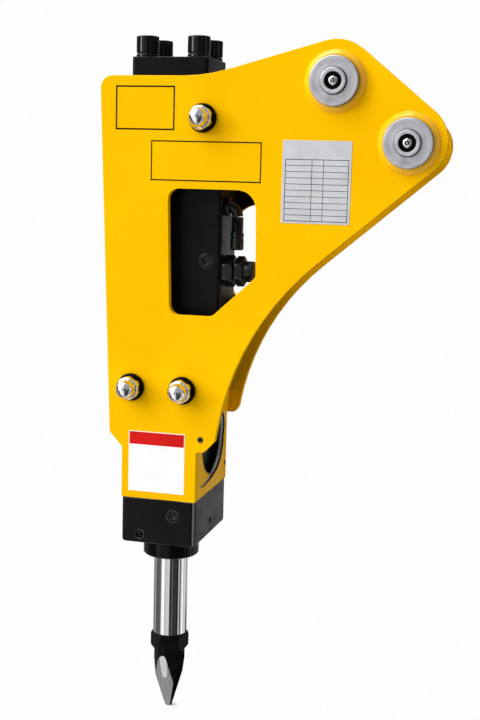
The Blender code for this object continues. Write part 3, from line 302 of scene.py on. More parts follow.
def ground_steel(turn, brim):
    """Ground facets with coarse lines; the upper part of each facet, ending in a tongue, is smoother and
    painted lighter as a painted highlight.
    """
    s = Shader("chisel_ground")
    mapping = s.add("ShaderNodeMapping")
    mapping.inputs["Rotation"].default_value = (0, 0, -turn)
    s.join(s.spot, mapping.inputs["Vector"])
    split = s.add("ShaderNodeSeparateXYZ")
    s.join(mapping.outputs["Vector"], split.inputs[0])
    off_x = s.math("ABSOLUTE", split.outputs["X"], 0)
    off_y = s.math("ABSOLUTE", split.outputs["Y"], 0)
    across = s.math("MINIMUM", off_x, off_y)
    narrow = s.math("POWER", s.math("DIVIDE", across, TONGUE_HALF), TONGUE_POWER)
    tongue = s.math("MULTIPLY", narrow, TONGUE_LENGTH)
    # Painted highlight: the tongue at the top of each facet is painted lighter than the coarse part below
    upper = s.range(s.math("SUBTRACT", split.outputs["Z"], tongue), brim - BRIM_BLUR, brim + BRIM_BLUR, 0, 1)
    lines = s.noise(1, 4, (900, 900, 45))
    coarse = s.ramp(lines, [(0.3, "757573"), (0.65, GROUND)])
    tongue_highlight = s.ramp(lines, [(0.2, "A4A4A2"), (0.6, GROUND_HIGHLIGHT)])
    skin = s.bump(lines, 0.2, 0.0004)
    gloss = s.range(upper, 0, 1, 0.46, 0.3)
    return s.set(Base_Color=s.blend(upper, coarse, tongue_highlight), Metallic=0.6, Roughness=gloss, Normal=skin)


def forged_black(name, shine):
    """Forge scale on the chisel's collar, neck and side facets."""
    s = Shader(name)
    patch = s.ramp(s.noise(70, 6), [(0.4, SCALE_BLACK), (0.72, "121211")])
    tone = s.blend(s.worn(0.001, 120), patch, "2A2A29")
    skin = s.bump(s.noise(240, 5), 0.3, 0.0008)
    gloss = s.patchy(0.34, 0.54, 90)
    return s.set(Base_Color=tone, Roughness=gloss, Normal=skin, Specular_IOR_Level=shine)


def foil(name, tone, shade, rough, metal=0.0, shine=0.5):
    """A film, foil or rubber skin, with faint waves and soiling."""
    s = Shader(name)
    mixed = s.ramp(s.noise(28, 5), [(0.32, shade), (0.6, tone)])
    skin = s.bump(s.noise(90, 2), 0.05, 0.0004)
    gloss = s.patchy(rough - 0.06, rough + 0.08, 60, 3)
    return s.set(Base_Color=mixed, Roughness=gloss, Normal=skin, Metallic=metal, Specular_IOR_Level=shine)


TOOL_TURN = math.radians(-7)
GRIND_BRIM = 0.0560
PAINT = yellow_paint("yellow_coat", 0.42, 0.03, YELLOW_SHINE)
WALL_PAINT = yellow_paint("yellow_wall", 0.42, 0.03, YELLOW_SHINE, "X")
GLOSS = yellow_paint("yellow_gloss", 0.22, 0.6, WHITE_FOIL)
CASTING = black_coat("black_casting", 420, 0.34, 0.09, BARE_GREY_AND_HIGHLIGHT, 0.0016)
# The head's front-right corner carries a painted highlight line
HEAD_CORNER = (RIGHT + FRONT).normalized()
HEAD_CASTING = black_coat("black_head", 420, 0.34, 0.09, BARE_GREY_AND_HIGHLIGHT, 0.0016, highlight_heading=HEAD_CORNER)
ENAMEL = black_coat("black_enamel", 800, 0.12, 0.10, peel=0.01)
BOLT_BLACK = black_coat("black_bolt", 900, 0.12, 0.26, peel=0.008)
FITTING = black_coat("black_fitting", 900, 0.22, 0.3)
# Black of the washers, also used as painted shade on disc sides, pin wells and sides, nipple cups and the
# trim's right side
WASHER_BLACK_AND_SHADE = black_coat("black_washer_and_shade", 600, 0.5, 0.06)
TURNED = turned_steel("turned_steel", STEEL, STEEL_DARK, 130, 0.36)
PLATING = bright_plating("chrome_plating", CHROME, 0.13)
ZINC = bright_plating("zinc_plating", "D2D2D0", 0.2)
SHANK = chisel_shank()
GRIND = ground_steel(TOOL_TURN, GRIND_BRIM)
FORGED = forged_black("chisel_scale", 0.05)
FORGED_DULL = forged_black("chisel_scale_dull", 0.0)
TRIM_HIGHLIGHT = foil("trim_painted_highlight", "D8DCE6", "B4B8C0", 0.3)
BRONZE = foil("insert_bronze", "6E4C2C", "301C06", 0.5, 0.3)
RUBBER = foil("seal_rubber", "181818", "101010", 0.7)
SILVER = foil("silver_foil", SILVER_FOIL, "C2C4C8", 0.38, 0.25)
INKED = foil("black_ink", INK, "16120A", 0.45, shine=0.05)
WHITE = foil("white_foil", WHITE_FOIL, "F4F4F6", 0.35, shine=0.15)
RED = foil("red_foil", RED_FOIL, "C81410", 0.35, shine=0.1)


def facing(axis):
    """The rotation that takes local Z to an axis."""
    if axis == DOWN:
        return Matrix.Rotation(math.pi, 4, "X")
    return UP.rotation_difference(axis).to_matrix().to_4x4()


def piece(name, build, finish, place, axis=UP, spin=0.0, body=BRACKET,
          stands_for=(), smooth=32):
    """A mesh piece set along an axis, riding on its body."""
    bmesh.ops.recalc_face_normals(build, faces=build.faces)
    mesh = bpy.data.meshes.new(name)
    build.to_mesh(mesh)
    build.free()
    for material in finish if isinstance(finish, list) else [finish]:
        mesh.materials.append(material)
    mesh.shade_smooth()
    mesh.set_sharp_from_angle(angle=math.radians(smooth))
    made = bpy.data.objects.new(name, mesh)
    bpy.context.scene.collection.objects.link(made)
    made.matrix_world = Matrix.Translation(place) @ facing(axis) @ Matrix.Rotation(spin, 4, "Z")
    bpy.context.view_layer.update()
    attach(made, body)
    if stands_for:
        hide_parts(*stands_for)
    return made


def softened(profile, steps=4):
    """A profile of (radius, height) or (radius, height, fillet), with each fillet drawn as an arc."""
    points = []
    for i, (x, y, *fillet) in enumerate(profile):
        here = Vector((x, y))
        if not fillet or i in (0, len(profile) - 1):
            points.append(here)
            continue
        before = Vector(profile[i - 1][:2]) - here
        after = Vector(profile[i + 1][:2]) - here
        start = here + before.normalized() * min(fillet[0], before.length * 0.49)
        end = here + after.normalized() * min(fillet[0], after.length * 0.49)
        for k in range(steps + 1):
            t = k / steps
            points.append(start.lerp(here, t).lerp(here.lerp(end, t), t))
    return points


def spun(profile, steps=72, radius_at=None, ring=False, build=None):
    """A bmesh turned about Z; radius_at(angle, radius, height) may reshape each point."""
    build = build or bmesh.new()
    loops = []
    for radius, height in softened(profile):
        if radius < 1e-6:
            loops.append([build.verts.new((0, 0, height))])
            continue
        loop = []
        for i in range(steps):
            angle = math.tau * i / steps
            r = radius_at(angle, radius, height) if radius_at else radius
            loop.append(build.verts.new((r * math.cos(angle), r * math.sin(angle), height)))
        loops.append(loop)
    pairs = list(zip(loops, loops[1:]))
    if ring:
        pairs.append((loops[-1], loops[0]))
    for one, two in pairs:
        for i in range(steps):
            j = (i + 1) % steps
            if len(one) == 1:
                build.faces.new((one[0], two[i], two[j]))
            elif len(two) == 1:
                build.faces.new((one[i], two[0], one[j]))
            else:
                build.faces.new((one[i], one[j], two[j], two[i]))
    return build


def hexagon(flats, turn=0.0, only_under=1.0):
    """radius_at for a hexagon across flats, inside a turned limit: its corners get the lathe's chamfer."""
    def radius_at(angle, radius, height):
        if radius > only_under:
            return radius
        off_flat = (angle - turn + math.pi / 6) % (math.pi / 3) - math.pi / 6
        return min(radius, flats / 2 / math.cos(off_flat))
    return radius_at


def hexed(build, flats, low, high, chamfer=0.0012):
    """A hexagon stage with its corners turned at both ends, added to a bmesh."""
    corner = flats / 2 / CORNER
    flat = flats / 2
    profile = [
        (0, low), (flat * 0.985, low), (flat + (corner - flat) * 0.5, low + chamfer * 0.45),
        (corner, low + chamfer * 1.2), (corner, high - chamfer * 1.2),
        (flat + (corner - flat) * 0.5, high - chamfer * 0.45), (flat * 0.985, high), (0, high),
    ]
    return spun(profile, 96, hexagon(flats), build=build)


def rounded_stage(build, radius, low, high, edge=0.0008, steps=64):
    """A plain turned stage with rounded edges, added to a bmesh."""
    profile = [(0, low), (radius, low, edge), (radius, high, edge), (0, high)]
    return spun(profile, steps, build=build)


def threaded(build, radius, low, high, pitch=0.002, depth=0.0011):
    """A stage with a helical thread, added to a bmesh."""
    def radius_at(angle, r, height):
        phase = (height / pitch - angle / math.tau) % 1
        return r - depth * abs(2 * phase - 1) if r > radius * 0.9 else r
    count = math.ceil((high - low) / pitch * 8)
    profile = [(0, low), (radius - depth * 1.2, low)]
    profile += [(radius, low + (high - low) * i / count) for i in range(1, count)]
    profile += [(radius - depth * 1.2, high), (0, high)]
    return spun(profile, 48, radius_at, build=build)


def tube(build, path, radii, across, sides=48):
    """A tube along a flat path, added to a bmesh; across stands square to the path's plane."""
    loops = []
    for i, (centre, radius) in enumerate(zip(path, radii)):
        along = (path[min(i + 1, len(path) - 1)] - path[max(i - 1, 0)]).normalized()
        out = along.cross(across).normalized()
        turns = [math.tau * k / sides for k in range(sides)]
        spokes = [math.cos(b) * out + math.sin(b) * across for b in turns]
        loops.append([build.verts.new(centre + radius * spoke) for spoke in spokes])
    for one, two in zip(loops, loops[1:]):
        for k in range(sides):
            build.faces.new((one[k], one[(k + 1) % sides], two[(k + 1) % sides], two[k]))
    build.faces.new(loops[0])
    build.faces.new(loops[-1])


def middle(node):
    """A node's middle and its size along the axes."""
    low, high = (Vector(corner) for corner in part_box(node))
    return (low + high) / 2, high - low


def outer_end(node, axis):
    """The middle of a node's far end along an axis, its length along it and its half width across it."""
    centre, size = middle(node)
    along = max(range(3), key=lambda i: abs(axis[i]))
    across = [size[i] for i in range(3) if i != along]
    return centre + Vector(axis) * size[along] / 2, size[along], max(across) / 2


# Pin discs, collars, pins and their nipples
PIN_SIDE_SHADE = 0.030
PIN_FIT = 0.0003
PIN_WELL = 0.0136
WELL_DEPTH = 0.0080
for pin in ("arm", "link"):
    body = pin + "_pin_set"
    hub, pin_size = middle(pin + "_pin")
    pin_radius = pin_size.x / 2
    for side, axis in (("front", FRONT), ("rear", REAR)):
        face, thick, radius = outer_end(f"{pin}_disc_{side}", axis)
        face.x, face.z = hub.x, hub.z
        bore = pin_radius + PIN_FIT
        gap = bore + 0.0007
        profile = [
            (bore, -thick), (radius - 0.0006, -thick, 0.0006), (radius, -thick + 0.0008, 0.0006),
            (radius, -0.0016, 0.0004), (radius - 0.0014, 0, 0.0005),
            (radius - 0.0060, 0), (radius - 0.0064, -0.0006),
            (radius - 0.0078, -0.0006), (radius - 0.0082, 0),
            (0.0292, 0), (0.0288, -0.0005), (0.0274, -0.0005), (0.0270, 0),
            (gap + 0.0003, 0), (gap, -0.0003), (gap, -0.0040), (bore, -0.0040),
        ]
        build = spun(profile, 96, ring=True)
        # Painted shade: the disc's outer side wall and the gap round the boss take the black finish, standing
        # for their shadow
        for f in build.faces:
            spot = f.calc_center_median()
            on_side = spot.xy.length > radius - 0.0004 and spot.z < -0.0016
            in_gap = spot.xy.length < gap + 0.0002 and spot.z < -0.0004
            f.material_index = 1 if on_side or in_gap else 0
        piece(f"disc_{pin}_{side}", build, [TURNED, WASHER_BLACK_AND_SHADE], face, axis, body=body,
              stands_for=[f"{pin}_disc_{side}"])
        face, thick, radius = outer_end(f"{pin}_collar_{side}", axis)
        face.x, face.z = hub.x, hub.z
        foot = -thick - 0.0003
        profile = [
            (bore + 0.001, foot), (radius + 0.0012, foot), (radius, foot + 0.0010, 0.0008),
            (radius, foot + 0.0026, 0.0008), (radius - 0.0052, -0.0004, 0.0008), (radius - 0.0062, 0, 0.0005),
            (bore + 0.0015, 0, 0.0006), (bore + 0.001, -0.0006),
        ]
        piece(f"collar_{pin}_{side}", spun(profile, 96, ring=True), GLOSS, face, axis,
              stands_for=[f"{pin}_collar_{side}"])
    end, length, radius = outer_end(pin + "_pin", FRONT)
    end.x, end.z = hub.x, hub.z
    profile = [
        (0, -WELL_DEPTH), (0.0090, -WELL_DEPTH), (PIN_WELL - 0.0006, -WELL_DEPTH, 0.0006),
        (PIN_WELL, -0.0074, 0.0004), (PIN_WELL, -0.0006, 0.0004), (PIN_WELL + 0.0005, 0, 0.0003),
        (radius - 0.0010, 0, 0.0004),
        (radius, -0.0010, 0.0004), (radius, -PIN_SIDE_SHADE), (radius, PIN_SIDE_SHADE - length),
        (radius, -length + 0.0010, 0.0004), (radius - 0.0010, -length, 0.0004), (0, -length),
    ]
    # Painted shade: the well in the pin's end and the pin's side near each end take the black finish,
    # standing for the shade in the well and on the boss's side
    build = spun(profile, 96)
    for f in build.faces:
        spot = f.calc_center_median()
        in_well = -0.009 < spot.z < -0.0005 and spot.xy.length < PIN_WELL + 0.0002
        near_end = min(-spot.z, spot.z + length)
        on_side = 0.0012 < near_end < PIN_SIDE_SHADE and spot.xy.length > radius - 0.0004
        f.material_index = 1 if in_well or on_side else 0
    piece(f"pin_{pin}", build, [TURNED, WASHER_BLACK_AND_SHADE], end, FRONT, body=body,
          stands_for=[pin + "_pin"])


def nipple(name, node, body, finish):
    """A grease nipple facing front: hexagon foot, neck, and a head with a ball in its cup."""
    tip, length, radius = outer_end(node, FRONT)
    profile = [
        (0, -length), (radius, -length), (radius, -length * 0.5, 0.0005),
        (radius * 0.78, -length * 0.42, 0.0005), (radius * 0.56, -length * 0.40),
        (radius * 0.54, -length * 0.24), (radius * 0.68, -length * 0.16, 0.0006),
        (radius * 0.66, -0.0004, 0.0005), (radius * 0.46, 0, 0.0003), (radius * 0.40, -0.0020),
        (radius * 0.24, -0.0024), (radius * 0.20, -0.0012, 0.0004), (0, -0.0008),
    ]
    build = spun(profile, 48, hexagon(radius * 1.8))
    # Painted shade: the cup round the ball takes the black finish
    for f in build.faces:
        spot = f.calc_center_median()
        f.material_index = 1 if radius * 0.22 < spot.xy.length < radius * 0.44 and spot.z > -0.0025 else 0
    piece(name, build, [finish, WASHER_BLACK_AND_SHADE], tip, FRONT, body=body, stands_for=[node])


nipple("nipple_arm", "arm_nipple", "arm_pin_set", ZINC)
nipple("nipple_link", "link_nipple", "link_pin_set", ZINC)
nipple("nipple_tool", "tool_nipple", BRACKET, FITTING)

# Side bolts: washers and domed nuts
NUT_FLATS = 0.0376
NUT_ROUND = 0.0199
NUT_HEX = 0.018
DOME_RADIUS = 0.0156
DOME_STEPS = 15
for place in ("upper", "lower_left", "lower_right"):
    for side, axis in (("front", FRONT), ("rear", REAR)):
        face, thick, radius = outer_end(f"side_washer_{place}_{side}", axis)
        profile = [
            (0.0125, -thick), (radius - 0.0008, -thick, 0.0008), (radius, -thick + 0.0010, 0.0008),
            (radius, -0.0016, 0.001), (radius - 0.0016, 0, 0.001), (0.0132, 0, 0.0006), (0.0125, -0.0008),
        ]
        piece(f"washer_{place}_{side}", spun(profile, 72, ring=True), WASHER_BLACK_AND_SHADE, face, axis,
              stands_for=[f"side_washer_{place}_{side}"])
        tip, length, _ = outer_end(f"side_nut_{place}_{side}", axis)
        hex_top = NUT_HEX - length
        straight = hex_top + 0.003
        profile = [
            (0, -length), (NUT_FLATS / 2, -length), (NUT_ROUND, -length + 0.0012),
            (NUT_ROUND, hex_top - 0.0065, 0.0015), (0.0190, hex_top - 0.0030, 0.0015),
            (0.0168, hex_top - 0.0006, 0.0010), (DOME_RADIUS + 0.0002, hex_top, 0.0004),
            (DOME_RADIUS, hex_top + 0.0012),
        ]
        for k in range(DOME_STEPS):
            lift = math.pi / 2 * k / DOME_STEPS
            profile.append((DOME_RADIUS * math.cos(lift), straight - straight * math.sin(lift)))
        profile.append((0, 0))
        piece(f"nut_{place}_{side}", spun(profile, 96, hexagon(NUT_FLATS)), PLATING, tip, axis,
              stands_for=[f"side_nut_{place}_{side}"])

# Tie bolts: socket heads on washers
SOCKET_FLATS = 0.022
TIE_HEAD = 0.0282
TIE_SHANK = 0.0115
for corner in ("front_left", "front_right", "rear_left", "rear_right"):
    top, length, radius = outer_end("tie_bolt_" + corner, UP)
    wide = SOCKET_FLATS / 2 / CORNER
    profile = [
        (0, -0.013), (wide * 0.9, -0.012), (wide, -0.0118), (wide, -0.0008), (wide + 0.0008, 0, 0.0003),
        (radius - 0.0012, 0, 0.0004), (radius, -0.0012, 0.0005), (radius, -0.0030),
        (radius, -TIE_HEAD + 0.0022), (radius - 0.0008, -TIE_HEAD + 0.0012, 0.0006),
        (radius - 0.0012, -TIE_HEAD), (TIE_SHANK, -TIE_HEAD), (TIE_SHANK, -length), (0, -length),
    ]
    socket = hexagon(SOCKET_FLATS, only_under=wide + 0.0001)
    piece("bolt_" + corner, spun(profile, 96, socket), BOLT_BLACK, top, UP, stands_for=["tie_bolt_" + corner])
    top, thick, radius = outer_end("tie_washer_" + corner, UP)
    profile = [
        (0.0118, -thick), (radius, -thick, 0.0004), (radius, -0.0010, 0.0006), (radius - 0.0010, 0, 0.0006),
        (0.0124, 0, 0.0004), (0.0118, -0.0006),
    ]
    piece("bolt_washer_" + corner, spun(profile, 72, ring=True), BOLT_BLACK, top, UP,
          stands_for=["tie_washer_" + corner])

# Chisel: heights run from the tip
tool_centre, tool_size = middle("chisel")
TIP_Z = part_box("chisel")[0][2]
TOOL_X = tool_centre.x
SHANK_RADIUS = 0.030
POINT_RADIUS = 0.0272
NECK_FLATS = (0.0510, 0.0440)
COLLAR_FOOT = 0.1095
COLLAR_TOP = 0.1400
COLLAR_FLATS = 0.0590
COLLAR_CORNER = 0.0340
COLLAR_TURN = math.radians(-14)
FACET_SLOPE = 0.227
TIP_HALF = 0.0045
NOTCH = (0.3311, 0.3867, 0.0211)


def tool_section(angle, radius, height):
    """The chisel's section: squared neck, hexagon collar, and shank with the retaining pin's flat."""
    if height < COLLAR_FOOT + 0.0005:
        off_flat = (angle - TOOL_TURN) % (math.pi / 2) - math.pi / 4
        flats = NECK_FLATS[int((angle - TOOL_TURN) % math.pi // (math.pi / 2))]
        return min(radius, flats / 2 / math.cos(off_flat))
    if height < COLLAR_TOP - 0.0002:
        return hexagon(COLLAR_FLATS, COLLAR_TURN)(angle, radius, height)
    low, high, flat = NOTCH
    if low - 0.00001 < height < high + 0.00001 and math.cos(angle) > flat / radius:
        return flat / math.cos(angle)
    return radius


top = tool_size.z
profile = [
    (0, 0), (POINT_RADIUS, 0), (POINT_RADIUS, COLLAR_FOOT - 0.002), (POINT_RADIUS + 0.0004, COLLAR_FOOT),
    (0.0300, COLLAR_FOOT + 0.0009), (0.0322, COLLAR_FOOT + 0.0024), (0.0334, COLLAR_FOOT + 0.0042),
    (COLLAR_CORNER, COLLAR_FOOT + 0.0064), (COLLAR_CORNER, COLLAR_TOP - 0.0066),
    (0.0334, COLLAR_TOP - 0.0046), (0.0324, COLLAR_TOP - 0.0026), (0.0310, COLLAR_TOP - 0.0009),
    (SHANK_RADIUS + 0.0004, COLLAR_TOP - 0.0001), (SHANK_RADIUS, COLLAR_TOP + 0.0004),
    (SHANK_RADIUS, NOTCH[0] - 0.0001), (SHANK_RADIUS, NOTCH[0]),
    (SHANK_RADIUS, NOTCH[1]), (SHANK_RADIUS, NOTCH[1] + 0.0001), (SHANK_RADIUS, top - 0.004),
    (SHANK_RADIUS - 0.004, top), (0, top),
]
build = spun(profile, 120, tool_section)
for i in range(4):
    heading = TOOL_TURN + math.pi / 2 * i
    outward = Vector((math.cos(heading), math.sin(heading), 0))
    slope = (outward - Vector((0, 0, FACET_SLOPE))).normalized()
    everything = build.verts[:] + build.edges[:] + build.faces[:]
    sliced = bmesh.ops.bisect_plane(build, geom=everything, plane_co=outward * TIP_HALF, plane_no=slope,
                                    clear_outer=True, dist=1e-7)
    rim = [item for item in sliced["geom_cut"] if isinstance(item, bmesh.types.BMEdge)]
    bmesh.ops.contextual_create(build, geom=rim)
bmesh.ops.recalc_face_normals(build, faces=build.faces)
front_facet = Vector((math.sin(TOOL_TURN), -math.cos(TOOL_TURN), -FACET_SLOPE)).normalized()
for f in build.faces:
    middle_of = f.calc_center_median()
    if middle_of.z > COLLAR_TOP + 0.0003:
        f.material_index = 0
    elif middle_of.z < COLLAR_FOOT - 0.003 and (f.normal.dot(front_facet) > 0.99 or f.normal.z < -0.9):
        f.material_index = 2
    elif middle_of.z < COLLAR_FOOT - 0.003 and f.normal.z < -0.1:
        f.material_index = 3
    else:
        f.material_index = 1
piece("chisel_steel", build, [SHANK, FORGED, GRIND, FORGED_DULL], (TOOL_X, 0, TIP_Z), UP, body="tool",
      stands_for=["chisel"], smooth=24)

# Lower bush and its dust seal
foot_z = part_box("lower_bush")[0][2]
bush_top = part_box("lower_bush")[1][2] - foot_z
seal_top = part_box("dust_seal")[1][2] - foot_z
flange_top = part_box("front_head")[0][2] - 0.0003 - foot_z
BUSH_FLANGE = middle("lower_bush")[1].y / 2
TOOL_BORE = 0.0304
SEAL_SEAT = 0.0403
SEAL_RADIUS = 0.0400
BUSH_RADIUS = 0.042
profile = [
    (TOOL_BORE, bush_top), (TOOL_BORE, seal_top + 0.0003), (SEAL_SEAT, seal_top + 0.0003),
    (SEAL_SEAT, 0.0008), (0.0409, 0, 0.0003), (BUSH_FLANGE - 0.0030, 0, 0.0012),
    (BUSH_FLANGE, 0.0030, 0.0012),
    (BUSH_FLANGE, flange_top - 0.0012, 0.0008), (BUSH_FLANGE - 0.0010, flange_top),
    (BUSH_RADIUS, flange_top), (BUSH_RADIUS, bush_top),
]
piece("bush_lower", spun(profile, 96, ring=True), ENAMEL, (TOOL_X, 0, foot_z), UP, stands_for=["lower_bush"])
profile = [
    (TOOL_BORE, 0.0004), (0.0316, 0, 0.0003), (0.0338, 0.0012, 0.0006), (0.0366, 0.0012, 0.0006),
    (0.0392, 0, 0.0004), (SEAL_RADIUS, 0.0008), (SEAL_RADIUS, seal_top - 0.0002),
    (TOOL_BORE, seal_top - 0.0002),
]
piece("seal_dust", spun(profile, 96, ring=True), RUBBER, (TOOL_X, 0, foot_z), UP,
      stands_for=["dust_seal"])

# Hydraulic fittings on the valve chest
INLET_FLATS = 0.046
INLET_HEX_END = 0.0183
INLET_THREAD = 0.0125
INLET_THREAD_END = 0.0423
INLET_CAP_FLATS = 0.044
INLET_CAP_HEX = (0.0213, 0.0351)
ELBOW_FLATS = 0.030
ELBOW_DROP = 0.015
SPIGOT = (0.012, -0.012, 0.001)
PIPE = 0.0090
PIPE_STEPS = 14
chest_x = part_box("cylinder")[1][0]
inlet_z = middle("inlet_adaptor")[0].z
outlet_z = outer_end("outlet_elbow", UP)[0].z - ELBOW_DROP
port_y = middle("inlet_adaptor")[0].y
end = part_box("inlet_cap")[1][0] - chest_x
build = hexed(None, INLET_FLATS, 0.0003, INLET_HEX_END)
threaded(build, INLET_THREAD, INLET_HEX_END, INLET_THREAD_END)
rounded_stage(build, *SPIGOT)
piece("fitting_inlet", build, FITTING, (chest_x, port_y, inlet_z), RIGHT, spin=math.pi / 6,
      stands_for=["inlet_adaptor"])
build = hexed(None, INLET_CAP_FLATS, *INLET_CAP_HEX)
rounded_stage(build, radius=0.0175, low=0.0345, high=end, edge=0.0022, steps=96)
rounded_stage(build, radius=0.0188, low=INLET_CAP_HEX[1], high=0.0371, edge=0.0006, steps=96)
piece("fitting_inlet_cap", build, FITTING, (chest_x, port_y, inlet_z), RIGHT, spin=0.45,
      stands_for=["inlet_cap"])

drop_x = middle("outlet_cap")[0].x - chest_x
elbow_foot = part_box("outlet_elbow")[0][2] - outlet_z
bend_start = 0.0043
bend_radius = drop_x - bend_start
build = hexed(None, ELBOW_FLATS, 0.0003, 0.0083)
rounded_stage(build, *SPIGOT)
for v in build.verts:
    v.co = Vector((v.co.z, v.co.y, -v.co.x))
quarter = [math.pi / 2 * i / PIPE_STEPS for i in range(PIPE_STEPS + 1)]
bend = [
    Vector((bend_start + bend_radius * math.sin(a), 0, bend_radius * (math.cos(a) - 1))) for a in quarter
]
tube(build, bend, [PIPE] * len(bend), REAR)
drop = bmesh.new()
cap_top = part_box("outlet_cap")[1][2] - outlet_z
rounded_stage(drop, PIPE, elbow_foot, cap_top + 0.003)
threaded(drop, PIPE + 0.0016, cap_top + 0.0006, -bend_radius - 0.001, pitch=0.0034, depth=0.0017)
bmesh.ops.translate(drop, verts=drop.verts, vec=(drop_x, 0, 0))
scrap = bpy.data.meshes.new("drop")
drop.to_mesh(scrap)
drop.free()
build.from_mesh(scrap)
bpy.data.meshes.remove(scrap)
piece("fitting_outlet", build, FITTING, (chest_x, port_y, outlet_z), UP, stands_for=["outlet_elbow"])
centre, size = middle("outlet_cap")
low = -size.z / 2
wide = size.x / 2
profile = [
    (0, low), (wide - 0.0016, low, 0.001), (wide, low + 0.0016, 0.001), (wide, 0.0040, 0.0004),
    (wide - 0.0007, 0.0046), (wide - 0.0007, 0.0060), (wide, 0.0066, 0.0004), (wide, -low - 0.0012, 0.0008),
    (wide - 0.0010, -low, 0.0005), (0.0094, -low), (0.0093, 0.001), (0, 0.001),
]
piece("fitting_outlet_cap", spun(profile, 72), FITTING, centre, UP, stands_for=["outlet_cap"])


def plug(name, node, axis, flats, groove):
    """A flush round plug with a rounded rim, a groove and a hexagon socket."""
    top, length, radius = outer_end(node, axis)
    wide = flats / 2 / CORNER
    profile = [
        (0, -length * 0.6), (wide, -length * 0.55), (wide, -0.0006), (wide + 0.0006, 0, 0.0002),
        (groove - 0.0008, 0), (groove - 0.0004, -0.0006), (groove + 0.0004, -0.0006), (groove + 0.0008, 0),
        (radius - 0.0012, 0, 0.0004), (radius, -0.0012, 0.0004), (radius, -length), (0, -length),
    ]
    piece(name, spun(profile, 72, hexagon(flats, only_under=wide + 0.0001)), FITTING, top, axis,
          stands_for=[node])


plug("plug_chest", "chest_plug", FRONT, flats=0.011, groove=0.0092)
plug("plug_retainer", "retainer_plug", FRONT, flats=0.008, groove=0.0078)
plug("pin_bush_lock", "bush_lock_pin", RIGHT, flats=0.005, groove=0.0044)

end, length, radius = outer_end("gas_valve", LEFT)
build = hexed(None, flats=0.025, low=-0.0117, high=-0.004)
rounded_stage(build, radius=0.008, low=-length, high=0, edge=0.0012)
threaded(build, radius=0.0086, low=-0.0042, high=-0.0012, pitch=0.0012, depth=0.0006)
piece("valve_gas", build, ZINC, end, LEFT, stands_for=["gas_valve"])

# Liner of the round hole in the right wall, leaning with the wall's flare: black enamel, whose dark is partly
# painted shade in the hole's bore
FOOT_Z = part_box("side_plate_front")[0][2]
FACE_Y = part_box("side_plate_front")[0][1]
HOLE_RADIUS = 0.056
HOLE_UP = 0.086
WALL_X = 0.070
WALL_FLARE = 0.117
WALL_INNER, WALL_OUTER = -0.0098, 0.0004
profile = [
    (HOLE_RADIUS - 0.0003, WALL_INNER), (HOLE_RADIUS - 0.0003, WALL_OUTER, 0.0003),
    (HOLE_RADIUS - 0.0016, WALL_OUTER, 0.0005), (HOLE_RADIUS - 0.0020, WALL_OUTER - 0.0008),
    (HOLE_RADIUS - 0.0020, WALL_INNER),
]
build = spun(profile, 120, ring=True)
for v in build.verts:
    v.co.z += WALL_FLARE * max(-v.co.x, 0)
piece("hole_liner", build, ENAMEL, (TOOL_X + WALL_X, 0, FOOT_Z + HOLE_UP), RIGHT)

# Trim along the rear half of that hole, with its tail on the wall below: pale grey in front as a painted
# highlight, black to the right as painted shade
TRIM_RADIUS = 0.0046
TRIM_RING = 0.0545
TRIM_ANGLES = (75, -68)
TRIM_STEPS = 30
TRIM_LIFT = 0.0012
TAIL_END = Vector((-0.062, -0.067))
TAIL_BOW = 0.040
TAIL_TIP = 0.0012
TAIL_STEPS = 20
sweep = TRIM_ANGLES[1] - TRIM_ANGLES[0]
turns = [math.radians(TRIM_ANGLES[0] + sweep * i / TRIM_STEPS) for i in range(TRIM_STEPS + 1)]
route = [TRIM_RING * Vector((math.cos(a), math.sin(a))) for a in turns]
leave = Vector((math.sin(turns[-1]), -math.cos(turns[-1])))
bow = route[-1] + leave * TAIL_BOW
shares = range(1, TAIL_STEPS + 1)
tail = [route[-1].lerp(bow, t).lerp(bow.lerp(TAIL_END, t), t) for t in (k / TAIL_STEPS for k in shares)]
path = [Vector((TRIM_LIFT + WALL_FLARE * max(p.y, 0), p.x, p.y)) for p in route + tail]
radii = [TRIM_RADIUS] * len(route)
radii += [TRIM_RADIUS + (TAIL_TIP - TRIM_RADIUS) * k / TAIL_STEPS for k in shares]
build = bmesh.new()
tube(build, path, radii, RIGHT, 24)
bmesh.ops.recalc_face_normals(build, faces=build.faces)
# Painted light: faces turned to the right take the black finish as painted shade, the rest the pale grey as a
# painted highlight
for f in build.faces:
    f.material_index = 1 if f.normal.x > 0.45 else 0
piece("hole_trim", build, [TRIM_HIGHLIGHT, WASHER_BLACK_AND_SHADE], (TOOL_X + WALL_X, 0, FOOT_Z + HOLE_UP), UP)


def mouth(name, place, axis, inner, outer, deep):
    """A dark rounded rim round a small hole or plug."""
    profile = [
        (inner, -deep), (inner, 0.0002, 0.0002), (outer - 0.0008, 0.0005, 0.0003),
        (outer, 0, 0.0003), (outer - 0.0004, -deep),
    ]
    piece(name, spun(profile, 48, ring=True), FITTING, place, axis)


LOBE_HOLE_X = 0.0774
LOBE_HOLE_UP = 0.108
EDGE_X = 0.07
EDGE_Y = 0.0875
EDGE_HOLE_UP = 0.029


def insert(name, place, axis):
    """A dark blind insert in a small drilled hole."""
    profile = [
        (0, -0.004), (0.0031, -0.004), (0.0031, 0.0001), (0.0034, 0.0004, 0.0002), (0.0049, 0.0004, 0.0003),
        (0.0054, 0), (0.0038, 0), (0.0038, -0.006), (0, -0.006),
    ]
    piece(name, spun(profile, 48), BRONZE, place, axis)


